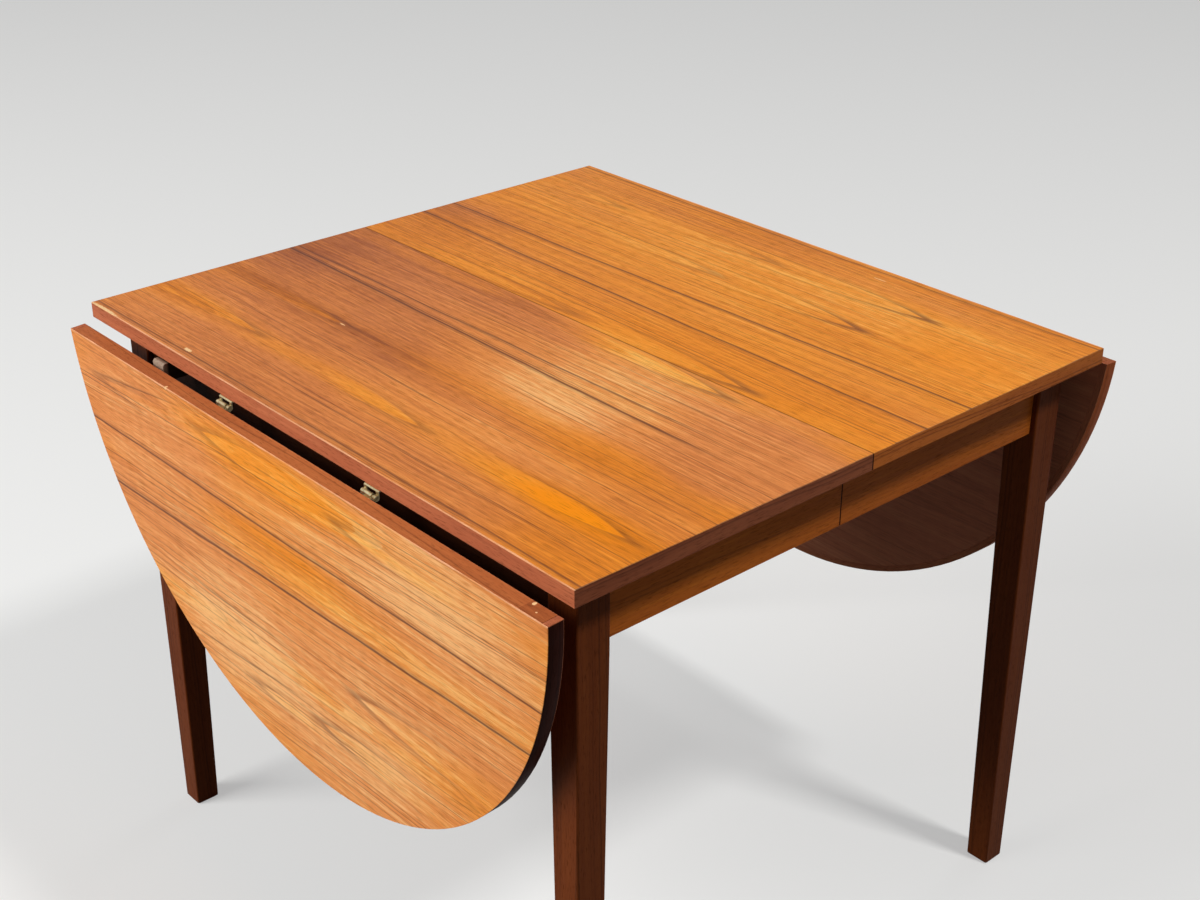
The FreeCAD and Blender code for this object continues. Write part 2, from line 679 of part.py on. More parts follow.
def build_runners(half):
    """One runner with a short dovetail tongue at the front and one with a groove at the back.

    The groove is closed near its tip, so the other half's tongue stops there when the table is drawn out.
    """
    ends = (f"-{RUNNER_END}", RUNNER_TIP)
    joint = "(runner_spacing / 2)"
    upright = (RUNNER_BOTTOM, UNDERSIDE)

    tongued = new_body(f"{half}_tongue_runner")
    face = f"-({joint} + slide_clearance / 2)"
    bar = rectangle((f"-({joint} + runner_width)", face), upright)
    pad_polygon(tongued, "YZ_Plane", bar, *ends)
    tip = f"-({joint} - tongue_depth)"
    tongue = [
        (face, f"{RUNNER_MIDDLE} - tongue_root / 2"),
        (tip, f"{RUNNER_MIDDLE} - tongue_tip / 2"),
        (tip, f"{RUNNER_MIDDLE} + tongue_tip / 2"),
        (face, f"{RUNNER_MIDDLE} + tongue_root / 2"),
    ]
    pad_polygon(tongued, "YZ_Plane", tongue, f"({RUNNER_TIP} - tongue_length)", RUNNER_TIP)

    grooved = new_body(f"{half}_groove_runner")
    face = f"({joint} - slide_clearance / 2)"
    bar = rectangle((f"({joint} - runner_width)", face), upright)
    pad_polygon(grooved, "YZ_Plane", bar, *ends)
    floor = f"({joint} - tongue_depth - slide_clearance)"
    groove = [
        (face, f"{RUNNER_MIDDLE} - tongue_root / 2 - groove_clearance"),
        (floor, f"{RUNNER_MIDDLE} - tongue_tip / 2 - groove_clearance"),
        (floor, f"{RUNNER_MIDDLE} + tongue_tip / 2 + groove_clearance"),
        (face, f"{RUNNER_MIDDLE} + tongue_root / 2 + groove_clearance"),
    ]
    pocket_polygon(grooved, "YZ_Plane", groove, f"-{RUNNER_END}", f"({RUNNER_TIP} - groove_stop)")

    for runner, row in ((tongued, TONGUE_ROW), (grooved, GROOVE_ROW)):
        across = (f"-({joint} + runner_width)", f"({joint} + runner_width)")
        relief = rectangle((f"-{SEAM_FACE}", RUNNER_TIP), across)
        pocket_polygon(runner, "XY_Plane", relief, f"{UNDERSIDE} - runner_relief", UNDERSIDE)
        bore(runner, runner_screw_places(row), RUNNER_BOTTOM)
        keep(runner, half, runner.Name)


def build_frame_screws(half):
    """The screws that hold the runners and the keepers up to the top."""
    seat = f"({UNDERSIDE} - frame_screw_grip)"
    length = "frame_screw_grip + frame_screw_depth - screw_fit"
    sizes = ("frame_screw_shank", "frame_screw_head", "frame_screw_head_height", length)
    screws = [screw(f"{half}_frame_screw_{index}", x, y, seat, sizes)
              for index, (x, y) in enumerate(frame_screw_places())]
    keep(group(f"{half}_frame_screws", screws), half, f"{half}_frame_screws")


# Lopers


def build_loper(half, way, pulled):
    """A square bar that slides out to carry a raised leaf, with a heel that stops it at its keeper."""
    loper = new_body(f"{half}_{end_name(half, way)}_loper")
    tip = f"-{APRON_END}"
    tail = f"-({APRON_END} - loper_length)"
    heel = f"-({APRON_END} - loper_length + loper_heel_length)"
    heel_bottom = f"({LOPER_BOTTOM} - loper_heel_depth)"
    profile = [
        (f"{tip} + loper_tip_chamfer", LOPER_TOP),
        (tip, f"{LOPER_TOP} - loper_tip_chamfer"),
        (tip, LOPER_BOTTOM),
        (heel, LOPER_BOTTOM),
        (heel, heel_bottom),
        (tail, heel_bottom),
        (tail, LOPER_TOP),
    ]
    pad_polygon(loper, "XZ_Plane", profile, *around(loper_middle(way), "loper_width / 2"))
    keep(loper, half, loper.Name)
    if pulled:
        bind(loper, Placement__Base__x=f"-({END_EDGE} + loper_reach - {APRON_END})")


def build_keepers(half):
    """Channels under the top that hold the lopers up and straight."""
    keepers = []
    front_end = f"({APRON_INNER_END} - keeper_distance)"
    x_span = (f"-{front_end}", f"-({front_end} - keeper_length)")
    for way in FRONT_AND_BACK:
        keeper = new_body(f"{half}_{end_name(half, way)}_keeper")
        middle = loper_middle(way)
        block = rectangle(around(middle, KEEPER_OUTER), (KEEPER_BOTTOM, UNDERSIDE))
        pad_polygon(keeper, "YZ_Plane", block, *x_span)
        inside = (f"{LOPER_BOTTOM} - loper_clearance", UNDERSIDE)
        channel = rectangle(around(middle, KEEPER_CHANNEL), inside)
        pocket_polygon(keeper, "YZ_Plane", channel, *x_span)
        bore(keeper, keeper_screw_places(way), KEEPER_BOTTOM)
        keepers.append(keeper)
    keep(group(f"{half}_loper_keepers", keepers), half, f"{half}_loper_keepers")


# Hinges


def countersinks(plate, places, face):
    """Let the screws' heads into a plate whose lower face is at a height."""
    hole = "(hinge_screw_shank / 2 + screw_fit)"
    drill(plate, "XY_Plane", [(x, y, hole) for x, y in places], face, f"{face} + hinge_plate")
    support = next(feature for feature in plate.Origin.OriginFeatures if feature.Role == "XY_Plane")
    for x, y in places:
        cone = plate.newObject("PartDesign::SubtractiveCone", f"{plate.Name}_countersink")
        cone.AttachmentSupport = (support, [""])
        cone.MapMode = "FlatFace"
        bind(cone, Radius1="hinge_screw_head / 2 + screw_fit", Radius2=hole, Height="hinge_plate")
        bind(cone, AttachmentOffset__Base__x=x, AttachmentOffset__Base__y=y, AttachmentOffset__Base__z=face)
    doc.recompute()


def build_top_plate(half, way):
    """The hinge plate under the top: a flat plate bent down into two end knuckles."""
    plate = new_body(f"{half}_{end_name(half, way)}_hinge_top_plate")
    middle = hinge_middle(way)
    width = around(middle, "hinge_width / 2")
    face = f"({UNDERSIDE} - hinge_plate)"
    lip = f"({END_EDGE} + {TOP_PLATE_LIP})"
    flat = rectangle((f"-{lip}", f"-({END_EDGE} - {TOP_PLATE_REACH})"), width)
    pad_polygon(plate, "XY_Plane", flat, face, UNDERSIDE)
    web = rectangle((f"-{lip}", f"-({lip} - hinge_plate)"), (PIVOT_Z, UNDERSIDE))
    pad_polygon(plate, "XZ_Plane", web, *width)
    bend = [(f"-{lip}", UNDERSIDE), (f"-{lip}", f"({UNDERSIDE} - hinge_bend)"),
            (f"-({lip} - hinge_bend)", UNDERSIDE)]
    pocket_polygon(plate, "XZ_Plane", bend, *width)
    pad_circle(plate, "XZ_Plane", (f"-{PIVOT_X}", PIVOT_Z, KNUCKLE_RADIUS), *width)
    gap = rectangle((f"-({PIVOT_X} + 2 * {KNUCKLE_RADIUS})", f"-({PIVOT_X} - 2 * {KNUCKLE_RADIUS})"),
                    around(middle, "(hinge_width / 2 - end_knuckle)"))
    pocket_polygon(plate, "XY_Plane", gap, f"{PIVOT_Z} - 2 * {KNUCKLE_RADIUS}", face)
    drill(plate, "XZ_Plane", [(f"-{PIVOT_X}", PIVOT_Z, "(pin_diameter / 2 + pin_press)")], *width)
    countersinks(plate, top_plate_screws(way), face)
    keep(plate, half, plate.Name)


def build_leaf_plate(half, way):
    """The hinge plate under a leaf, drawn about the pin with the leaf raised: one long middle knuckle."""
    plate = new_body(f"{half}_leaf_{end_name(half, way)}_hinge_plate")
    middle = hinge_middle(way)
    width = around(middle, "hinge_width / 2")
    face = "(pivot_drop - hinge_plate)"
    flat = rectangle((f"{LEAF_PLATE_START} - leaf_plate_reach", LEAF_PLATE_START), width)
    pad_polygon(plate, "XY_Plane", flat, face, "pivot_drop")
    space_end = f"({middle} + hinge_width / 2 - end_knuckle)"
    space_start = f"({middle} - hinge_width / 2 + end_knuckle)"
    knuckle = (f"{space_start} + knuckle_play", f"({space_end} - knuckle_side_gap)")
    web = rectangle((f"-{KNUCKLE_RADIUS}", f"-({KNUCKLE_RADIUS} - hinge_plate)"), ("0", "pivot_drop"))
    pad_polygon(plate, "XZ_Plane", web, *knuckle)
    pad_circle(plate, "XZ_Plane", ("0", "0", KNUCKLE_RADIUS), *knuckle)
    drill(plate, "XZ_Plane", [("0", "0", "(pin_diameter / 2 + pin_play)")], *knuckle)
    countersinks(plate, leaf_plate_screws(way), face)
    keep_on_leaf(plate, half, plate.Name)


def build_pins(half):
    """Hinge pins, held by the end knuckles of the top plates."""
    pins = []
    for way in FRONT_AND_BACK:
        pin = doc.addObject("Part::Cylinder", f"{half}_{end_name(half, way)}_pin")
        pin.Placement = FreeCAD.Placement(FreeCAD.Vector(), FreeCAD.Rotation(FreeCAD.Vector(1, 0, 0), -90))
        bind(pin, Radius="pin_diameter / 2", Height="hinge_width")
        bind(pin, Placement__Base__x=f"-{PIVOT_X}", Placement__Base__z=PIVOT_Z)
        bind(pin, Placement__Base__y=f"{hinge_middle(way)} - hinge_width / 2")
        pins.append(pin)
    keep(group(f"{half}_hinge_pins", pins), half, f"{half}_hinge_pins")


def hinge_screws(label, places, seat):
    """A group of the hinge plates' screws, with their heads flush in the plates."""
    length = "hinge_plate + hinge_screw_depth - screw_fit"
    sizes = ("hinge_screw_shank", "hinge_screw_head", "hinge_plate", length)
    return group(label, [screw(f"{label}_{index}", x, y, seat, sizes) for index, (x, y) in enumerate(places)])


def build_hinge_screws(half):
    """The screws of the top plates, and those of the leaf plates, which hang with the leaf."""
    top_places = [place for way in FRONT_AND_BACK for place in top_plate_screws(way)]
    label = f"{half}_hinge_top_screws"
    keep(hinge_screws(label, top_places, f"({UNDERSIDE} - hinge_plate)"), half, label)
    leaf_places = [place for way in FRONT_AND_BACK for place in leaf_plate_screws(way)]
    label = f"{half}_leaf_hinge_screws"
    keep_on_leaf(hinge_screws(label, leaf_places, "(pivot_drop - hinge_plate)"), half, label)


# Leaves


def pad_leaf_outline(body, chord, radius, low, high):
    """A half-round sheet, straight along the hinges and round outside."""
    sketch = start_pad(body, "XY_Plane", low, high)
    arc = draw_arc(sketch, chord, LEAF_CENTRE, radius)
    draw_chord(sketch, chord, arc, 2, arc, 1)
    finish_pad(body, sketch, low, high)


def build_leaf(half):
    """A half-round leaf, drawn about its hinge pins in the raised position: panel, hinge lipping and rim."""
    core_edge = f"({LEAF_EDGE} - lipping)"
    core_radius = f"({SIDE_EDGE} - lipping)"
    panel = new_body(f"{half}_leaf_panel")
    pad_leaf_outline(panel, core_edge, core_radius, "pivot_drop", LEAF_CORE_TOP)
    pad_leaf_outline(panel, LEAF_EDGE, SIDE_EDGE, LEAF_CORE_TOP, LEAF_FACE)
    hole = "(hinge_screw_shank / 2 + screw_fit)"
    holes = [(x, y, hole) for way in FRONT_AND_BACK for x, y in leaf_plate_screws(way)]
    drill(panel, "XY_Plane", holes, "pivot_drop", "(pivot_drop + hinge_screw_depth)")
    keep_on_leaf(panel, half, panel.Name)

    hinge_strip = new_body(f"{half}_leaf_hinge_lipping")
    strip_end = f"sqrt({core_radius} ^ 2 - ({LEAF_CENTRE} - {core_edge}) ^ 2)"
    strip = rectangle((core_edge, LEAF_EDGE), (f"-{strip_end}", strip_end))
    pad_polygon(hinge_strip, "XY_Plane", strip, "pivot_drop", LEAF_CORE_TOP)
    keep_on_leaf(hinge_strip, half, hinge_strip.Name)

    rim = new_body(f"{half}_leaf_rim_lipping")
    sketch = start_pad(rim, "XY_Plane", "pivot_drop", LEAF_CORE_TOP)
    outer = draw_arc(sketch, LEAF_EDGE, LEAF_CENTRE, SIDE_EDGE)
    inner = draw_arc(sketch, LEAF_EDGE, LEAF_CENTRE, core_radius)
    draw_chord(sketch, LEAF_EDGE, outer, 2, inner, 2)
    draw_chord(sketch, LEAF_EDGE, inner, 1, outer, 1)
    finish_pad(rim, sketch, "pivot_drop", LEAF_CORE_TOP)
    keep_on_leaf(rim, half, rim.Name)


# The whole table


def build_half(half):
    """All the pieces of one half of the table and of its leaf."""
    build_top(half)
    build_pegs(half)
    for way in FRONT_AND_BACK:
        build_leg(half, way)
        build_side_apron(half, way)
        build_loper(half, way, pulled=half == "near" and way > 0)
        build_top_plate(half, way)
        build_leaf_plate(half, way)
    build_end_apron(half)
    build_braces(half)
    build_cleats(half)
    build_runners(half)
    build_frame_screws(half)
    build_keepers(half)
    build_pins(half)
    build_hinge_screws(half)
    build_leaf(half)


def check_objects():
    """Stop if any object is in error or any node has no sound shape."""
    for thing in doc.Objects:
        if "Invalid" in thing.State or "Error" in thing.State:
            raise RuntimeError(f"{thing.Label} is in state {thing.State}")
    for node in nodes:
        if node.Shape.isNull() or not node.Shape.isValid() or not node.Shape.Solids:
            raise RuntimeError(f"{node.Label} has no sound shape")


def write_nodes():
    """Write each node to its own file."""
    for node in nodes:
        node.Shape.exportStep(f"parts/{node.Label}.step")
        print(f"{node.Label}: {len(node.Shape.Solids)} solid(s), {node.Shape.Volume / 1000:.1f} cm3")


for name in HALVES:
    build_half(name)
doc.recompute()
check_objects()
write_nodes()
print(f"{len(nodes)} nodes")
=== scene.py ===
"""Looks of an extending dining table with two half-round drop leaves.

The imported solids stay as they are. This script eases their edges, gives every piece its own finish of
wood or metal, and sets the floor, the lamps and the camera. Lengths are in metres, in the frame of the
solids: X runs along the extension, Y along the seam and the hinge lines, Z is up.
"""

import logging
import math
from dataclasses import dataclass, field
from enum import Enum
from typing import Optional, Sequence, Union

import bmesh
import bpy
from mathutils import Matrix, Vector


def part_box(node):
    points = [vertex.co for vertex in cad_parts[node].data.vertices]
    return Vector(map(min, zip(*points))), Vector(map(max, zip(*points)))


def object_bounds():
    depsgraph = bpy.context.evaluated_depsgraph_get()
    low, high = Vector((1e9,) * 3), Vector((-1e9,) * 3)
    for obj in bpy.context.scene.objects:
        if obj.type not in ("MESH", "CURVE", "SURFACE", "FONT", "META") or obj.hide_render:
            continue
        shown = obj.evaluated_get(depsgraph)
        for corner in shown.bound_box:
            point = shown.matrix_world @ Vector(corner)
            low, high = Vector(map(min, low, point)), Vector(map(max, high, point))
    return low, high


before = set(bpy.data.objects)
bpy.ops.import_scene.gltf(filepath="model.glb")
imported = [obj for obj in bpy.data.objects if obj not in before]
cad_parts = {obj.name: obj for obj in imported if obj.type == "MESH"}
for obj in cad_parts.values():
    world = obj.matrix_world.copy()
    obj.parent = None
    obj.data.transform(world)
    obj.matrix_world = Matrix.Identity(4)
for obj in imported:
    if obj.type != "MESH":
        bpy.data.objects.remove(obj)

CAD_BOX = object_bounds()
LOG = logging.getLogger("extending_table")

Socket = bpy.types.NodeSocket
Feed = Union[float, tuple, Socket]
Colour = tuple[float, float, float, float]
Pair = tuple[float, float]
Triple = tuple[float, float, float]

HALVES = ("near", "far")
SIDES = ("front", "back")


def srgb(red: int, green: int, blue: int) -> Colour:
    """Turn a colour as a screen shows it into the linear colour that a shader takes.

    Args:
        red, green, blue: screen values from 0 to 255.

    Returns:
        The linear colour with a full alpha.
    """
    linear = []
    for value in (red / 255, green / 255, blue / 255):
        linear.append(value / 12.92 if value <= 0.04045 else ((value + 0.055) / 1.055) ** 2.4)
    return (*linear, 1.0)


# Writing shader nodes


class Noise(Enum):
    """The soft noises of wood and metal: bumps to a metre each way, finer layers and their strength."""

    RING_BEND = ((16.0, 3.2, 0.0), 2.0, 0.5)
    RING_RIPPLE = ((120.0, 14.0, 0.0), 3.0, 0.5)
    SLOW_WANDER = ((7.0, 4.0, 0.0), 2.0, 0.5)
    QUICK_WANDER = ((30.0, 12.0, 0.0), 2.0, 0.5)
    FRAY = ((800.0, 11.0, 0.0), 2.0, 0.5)
    LINE_FADE = ((30.0, 3.4, 1.0), 2.0, 0.5)
    VENEER_FIBRE = ((300.0, 10.0, 40.0), 4.0, 0.65)
    VENEER_THREAD = ((1300.0, 44.0, 60.0), 2.0, 0.5)
    VENEER_CLOUD = ((9.0, 2.6, 1.0), 2.0, 0.5)
    VENEER_PORE = ((1500.0, 42.0, 60.0), 1.0, 0.5)
    VENEER_BLUSH = ((11.0, 3.0, 0.0), 2.0, 0.5)
    VENEER_HAZE = ((14.0, 6.0, 1.0), 4.0, 0.6)
    VENEER_CHIPS = ((300.0, 300.0, 0.0), 4.0, 0.7)
    VENEER_WEAR = ((22.0, 16.0, 0.0), 3.0, 0.5)
    WOOD_DRIFT = ((9.0, 2.0, 9.0), 2.0, 0.5)
    WOOD_FIBRE = ((300.0, 9.0, 300.0), 4.0, 0.65)
    WOOD_CLOUD = ((14.0, 4.0, 14.0), 2.0, 0.5)
    WOOD_PORE = ((1200.0, 90.0, 1200.0), 1.0, 0.5)
    WOOD_HAZE = ((20.0, 8.0, 20.0), 4.0, 0.6)
    WOOD_CHIPS = ((300.0, 300.0, 300.0), 4.0, 0.7)
    METAL_BLOTCH = ((160.0, 160.0, 160.0), 5.0, 0.6)
    METAL_RUBBING = ((2500.0, 180.0, 2500.0), 2.0, 0.5)


class NodeWeb:
    """Writes the nodes of one material from short calls."""

    def __init__(self, name: str) -> None:
        """Start an empty node tree.

        Args:
            name: the material's name.
        """
        self.material = bpy.data.materials.new(name)
        self.material.use_nodes = True
        self.tree = self.material.node_tree
        self.tree.nodes.clear()

    def node(self, kind: str, **settings: object) -> bpy.types.Node:
        """Add a node.

        Args:
            kind: the node's type.
            settings: properties to set on it.

        Returns:
            The new node.
        """
        made = self.tree.nodes.new(kind)
        for key, value in settings.items():
            setattr(made, key, value)
        return made

    def feed(self, sockets: Sequence[Socket], *values: Feed) -> None:
        """Link each socket to another one, or set its number, vector or colour.

        Args:
            sockets: the inputs to feed.
            values: an output, a number, a vector or a colour for each.
        """
        for socket, value in zip(sockets, values):
            if isinstance(value, Socket):
                self.tree.links.new(value, socket)
            else:
                socket.default_value = value

    def math(self, operation: str, *terms: Feed) -> Socket:
        """Work out one step of arithmetic.

        Args:
            operation: the name of the step.
            terms: one to three numbers or outputs.

        Returns:
            The result.
        """
        made = self.node("ShaderNodeMath", operation=operation)
        self.feed(made.inputs, *terms)
        return made.outputs[0]

    def vector(self, operation: str, *terms: Feed) -> Socket:
        """Work out one step of vector arithmetic.

        Args:
            operation: the name of the step.
            terms: one to three vectors or outputs.

        Returns:
            The result, a number for a dot product.
        """
        made = self.node("ShaderNodeVectorMath", operation=operation)
        self.feed(made.inputs, *terms)
        return made.outputs["Value" if operation == "DOT_PRODUCT" else "Vector"]

    def total(self, *terms: Feed) -> Feed:
        """Add several terms.

        Args:
            terms: numbers or outputs.

        Returns:
            Their sum.
        """
        result = terms[0]
        for term in terms[1:]:
            result = self.math("ADD", result, term)
        return result

    def product(self, *terms: Feed) -> Feed:
        """Multiply several terms.

        Args:
            terms: numbers or outputs.

        Returns:
            Their product.
        """
        result = terms[0]
        for term in terms[1:]:
            result = self.math("MULTIPLY", result, term)
        return result

    def linear(self, value: Feed, slope: Feed, level: Feed) -> Socket:
        """A straight line: slope times the value, plus the level."""
        return self.math("MULTIPLY_ADD", value, slope, level)

    def apart(self, value: Feed, middle: Feed) -> Socket:
        """How far a value lies from a middle."""
        return self.math("ABSOLUTE", self.math("SUBTRACT", value, middle))

    def swing(self, value: Socket, reach: float) -> Socket:
        """Centre a value that runs from 0 to 1 on zero and scale it."""
        return self.linear(value, reach, -reach / 2)

    def smooth(self, value: Feed, low: float, high: float) -> Socket:
        """Step softly from 0 to 1.

        Args:
            value: what steps.
            low: where the step starts; it may be the larger one of the two.
            high: where the step ends.

        Returns:
            The share, from 0 to 1.
        """
        made = self.node("ShaderNodeMapRange", interpolation_type="SMOOTHSTEP")
        ends = (low, high, 0.0, 1.0) if low < high else (high, low, 1.0, 0.0)
        self.feed(made.inputs, value, *ends)
        return made.outputs[0]

    def stack(self, *parts: Feed) -> Socket:
        """Combine values into a vector.

        Args:
            parts: up to three numbers or outputs.

        Returns:
            The vector.
        """
        made = self.node("ShaderNodeCombineXYZ")
        self.feed(made.inputs, *parts)
        return made.outputs[0]

    def spread(self, place: Socket, at: Pair, reach: Pair) -> Socket:
        """How far a point lies from a spot.

        Args:
            place: the point.
            at: the middle of the spot.
            reach: the spot's half sizes.

        Returns:
            The square of the distance, counted in half sizes.
        """
        scale = (1.0 / reach[0], 1.0 / reach[1], 0.0)
        shift = (-at[0] / reach[0], -at[1] / reach[1], 0.0)
        offset = self.vector("MULTIPLY_ADD", place, scale, shift)
        return self.vector("DOT_PRODUCT", offset, offset)

    def noise(self, place: Socket, kind: Noise, seed: float = 0.0) -> Socket:
        """Soft noise from 0 to 1.

        Args:
            place: where to read it.
            kind: which noise it is.
            seed: tells it from others of the same kind.

        Returns:
            The value.
        """
        scales, detail, roughness = kind.value
        made = self.node("ShaderNodeTexNoise")
        self.feed([made.inputs["Vector"]], self.vector("MULTIPLY_ADD", place, scales, (0.0, 0.0, seed)))
        for name, value in (("Scale", 1.0), ("Detail", detail), ("Roughness", roughness)):
            made.inputs[name].default_value = value
        return made.outputs[0]

    def dice(self, value: Feed) -> tuple[Socket, Socket]:
        """Roll two random numbers.

        Args:
            value: the number that they belong to.

        Returns:
            The two, from 0 to 1, always the same for the same value.
        """
        made = self.node("ShaderNodeTexWhiteNoise", noise_dimensions="1D")
        self.feed([made.inputs["W"]], value)
        parts = self.node("ShaderNodeSeparateColor")
        self.feed(parts.inputs, made.outputs["Color"])
        return parts.outputs[0], parts.outputs[1]

    def ramp(self, value: Socket, stops: Sequence[tuple[float, Colour]]) -> Socket:
        """Look a value up in a row of colours.

        Args:
            value: what to look up, from 0 to 1.
            stops: places and their colours.

        Returns:
            The colour.
        """
        made = self.node("ShaderNodeValToRGB")
        row = made.color_ramp.elements
        while len(row) < len(stops):
            row.new(1.0)
        for element, (place, colour) in zip(row, stops):
            element.position = place
            element.color = colour
        self.feed(made.inputs, value)
        return made.outputs[0]

    def mix(self, share: Feed, first: Feed, second: Feed) -> Socket:
        """Mix two colours.

        Args:
            share: how much of the second one, from 0 to 1.
            first, second: the colours.

        Returns:
            The mixed colour.
        """
        made = self.node("ShaderNodeMix", data_type="RGBA")
        sockets = {socket.identifier: socket for socket in made.inputs}
        wanted = [sockets[name] for name in ("Factor_Float", "A_Color", "B_Color")]
        self.feed(wanted, share, first, second)
        return next(socket for socket in made.outputs if socket.identifier == "Result_Color")

    def bump(self, height: Socket, depth: float, strength: float) -> Socket:
        """Tilt the normal of a face.

        Args:
            height: how far the face rises, from 0 to 1.
            depth: what a rise of 1 means, in metres.
            strength: how much of the tilt is taken.

        Returns:
            The normal.
        """
        made = self.node("ShaderNodeBump")
        made.inputs["Strength"].default_value = strength
        made.inputs["Distance"].default_value = depth
        self.feed([made.inputs["Height"]], height)
        return made.outputs[0]

    def surface(self, **feeds: Feed) -> bpy.types.Material:
        """Close the web with a surface shader.

        Args:
            feeds: inputs by name, with an underscore for each space.

        Returns:
            The finished material.
        """
        shader = self.node("ShaderNodeBsdfPrincipled")
        for name, value in feeds.items():
            self.feed([shader.inputs[name.replace("_", " ")]], value)
        out = self.node("ShaderNodeOutputMaterial")
        self.feed([out.inputs["Surface"]], shader.outputs[0])
        return self.material


@dataclass(frozen=True)
class Spot:
    """A point of a board as its material sees it: its three distances, and the same as a vector."""

    web: NodeWeb
    across: Socket
    along: Socket
    out: Socket
    place: Socket


@dataclass(frozen=True)
class Axes:
    """A board's own directions: across its grain, along it and out of its face."""

    origin: Triple = (0.0, 0.0, 0.0)
    across: Triple = (1.0, 0.0, 0.0)
    along: Triple = (0.0, 1.0, 0.0)
    out: Triple = (0.0, 0.0, 1.0)

    def measure(self, web: NodeWeb) -> Spot:
        """Distances of a point from the origin in the three directions.

        Args:
            web: the material that reads them.

        Returns:
            The point.
        """
        place = web.node("ShaderNodeTexCoord").outputs["Object"]
        offset = web.vector("SUBTRACT", place, self.origin)
        found = [web.vector("DOT_PRODUCT", offset, way) for way in (self.across, self.along, self.out)]
        return Spot(web, *found, web.stack(*found))


class Grain(Enum):
    """Which way the fibres of a straight piece run."""

    ALONG_X = Axes(across=(0.0, 1.0, 0.0), along=(1.0, 0.0, 0.0), out=(0.0, 0.0, 1.0))
    ALONG_Y = Axes(across=(1.0, 0.0, 0.0), along=(0.0, 1.0, 0.0), out=(0.0, 0.0, 1.0))
    ALONG_Z = Axes(across=(1.0, 0.0, 0.0), along=(0.0, 0.0, 1.0), out=(0.0, 1.0, 0.0))


# Finishes

# Red, green and blue of a wood's tones, from its lines to its palest fibres, as shares of the middle one
TONE_STEPS = (
    (0.47, 0.43, 0.43),
    (0.77, 0.75, 0.75),
    (1.0, 1.0, 1.0),
    (1.09, 1.15, 1.15),
    (1.28, 1.48, 1.60),
)
TONE_PLACES = (0.0, 0.38, 0.66, 1.0)


@dataclass(frozen=True)
class Tones:
    """The colours of a wood, from its dark lines to its palest fibres."""

    line: Colour
    deep: Colour
    middle: Colour
    warm: Colour
    pale: Colour

    @classmethod
    def around(cls, red: int, green: int, blue: int, contrast: float = 1.0) -> "Tones":
        """Work a wood's tones out from its middle one.

        Args:
            red, green, blue: the middle tone.
            contrast: how far the others lie from it.

        Returns:
            The tones.
        """
        made = []
        for step in TONE_STEPS:
            levels = [
                min(255, round(level + level * contrast * (share - 1.0)))
                for level, share in zip((red, green, blue), step)
            ]
            made.append(srgb(*levels))
        return cls(*made)

    def row(self) -> list[tuple[float, Colour]]:
        """The colours as a ramp from dark to pale."""
        return list(zip(TONE_PLACES, (self.deep, self.middle, self.warm, self.pale)))


GOLDEN_TEAK = Tones(
    line=srgb(84, 40, 14),
    deep=srgb(170, 90, 22),
    middle=srgb(217, 126, 32),
    warm=srgb(235, 148, 46),
    pale=srgb(249, 188, 96),
)
ROSY_TEAK = Tones(
    line=srgb(80, 39, 28),
    deep=srgb(153, 81, 42),
    middle=srgb(203, 120, 60),
    warm=srgb(221, 139, 74),
    pale=srgb(242, 182, 118),
)
AMBER_TEAK = srgb(240, 138, 0)
BACKING_TEAK = Tones.around(172, 106, 78, 0.8)
END_EDGE_TEAK = Tones.around(170, 94, 63)
HINGE_EDGE_TEAK = Tones.around(164, 88, 48)
SIDE_EDGE_TEAK = Tones.around(130, 71, 46)
FAR_SIDE_EDGE_TEAK = Tones.around(170, 91, 38)
# The near leaf's rim: a very dark copy of the rim teak that is painted shade; the far rim's tones are the
# lit ones.
NEAR_RIM_PAINTED_SHADE_TEAK = Tones.around(46, 20, 15, 1.2)
FAR_RIM_TEAK = Tones.around(152, 79, 46)
LEG_TEAK = Tones.around(95, 44, 18)
APRON_TEAK = Tones.around(165, 85, 28)
# End aprons: a very dark teak tone that is painted shade, so that the gap between the leaves and the top
# reads dark.
END_APRON_PAINTED_SHADE_TEAK = Tones.around(54, 26, 13, 1.2)
# Lopers: a very dark beech tone that is painted shade over the part under the top.
LOPER_PAINTED_SHADE_BEECH = Tones.around(50, 35, 24)
RUBBED_BEECH = Tones.around(148, 123, 107, 0.7)
BEECH = Tones.around(178, 156, 130, 0.6)
PALE_WEAR = srgb(236, 178, 138)
GREY_WEAR = srgb(128, 92, 72)
CHIPPED_WOOD = srgb(236, 194, 140)
SEAM_DIRT = (0.0012, 0.0007)
NICK_RAGGEDNESS = 2.4
NICK_EDGE = (1.0, 0.5)
FIBRE_RISE = 0.4
PORE_SINK = 0.7
RELIEF_DEPTH = 0.00012
RELIEF_STRENGTH = 0.5
SECOND_ROLL = 0.5


@dataclass(frozen=True)
class Crown:
    """A row of nested arches in sliced veneer, whose tips point along the grain.

    at is its middle across the grain, roundness the blunt width of its tips, opening how fast its arches
    widen along the grain, and shift moves its rings against those of its neighbours.
    """

    at: float
    roundness: float
    opening: float
    shift: float = 0.0


@dataclass(frozen=True)
class Streak:
    """A dark line along the grain: its place at the middle, drift per metre, half width and strength."""

    at: float
    drift: float
    width: float
    strength: float
    start: Optional[float] = None
    stop: Optional[float] = None


@dataclass(frozen=True)
class Arch:
    """One dark outline of a crown: where its tip lies, its half width and how soon it opens to that.

    It runs from its tip over its length. way is 1 where it opens towards rising distances along the
    grain, and -1 where it opens the other way.
    """

    tip: Pair
    half: float
    bend: float
    length: float
    strength: float
    way: float = 1.0
    drift: float = 0.0


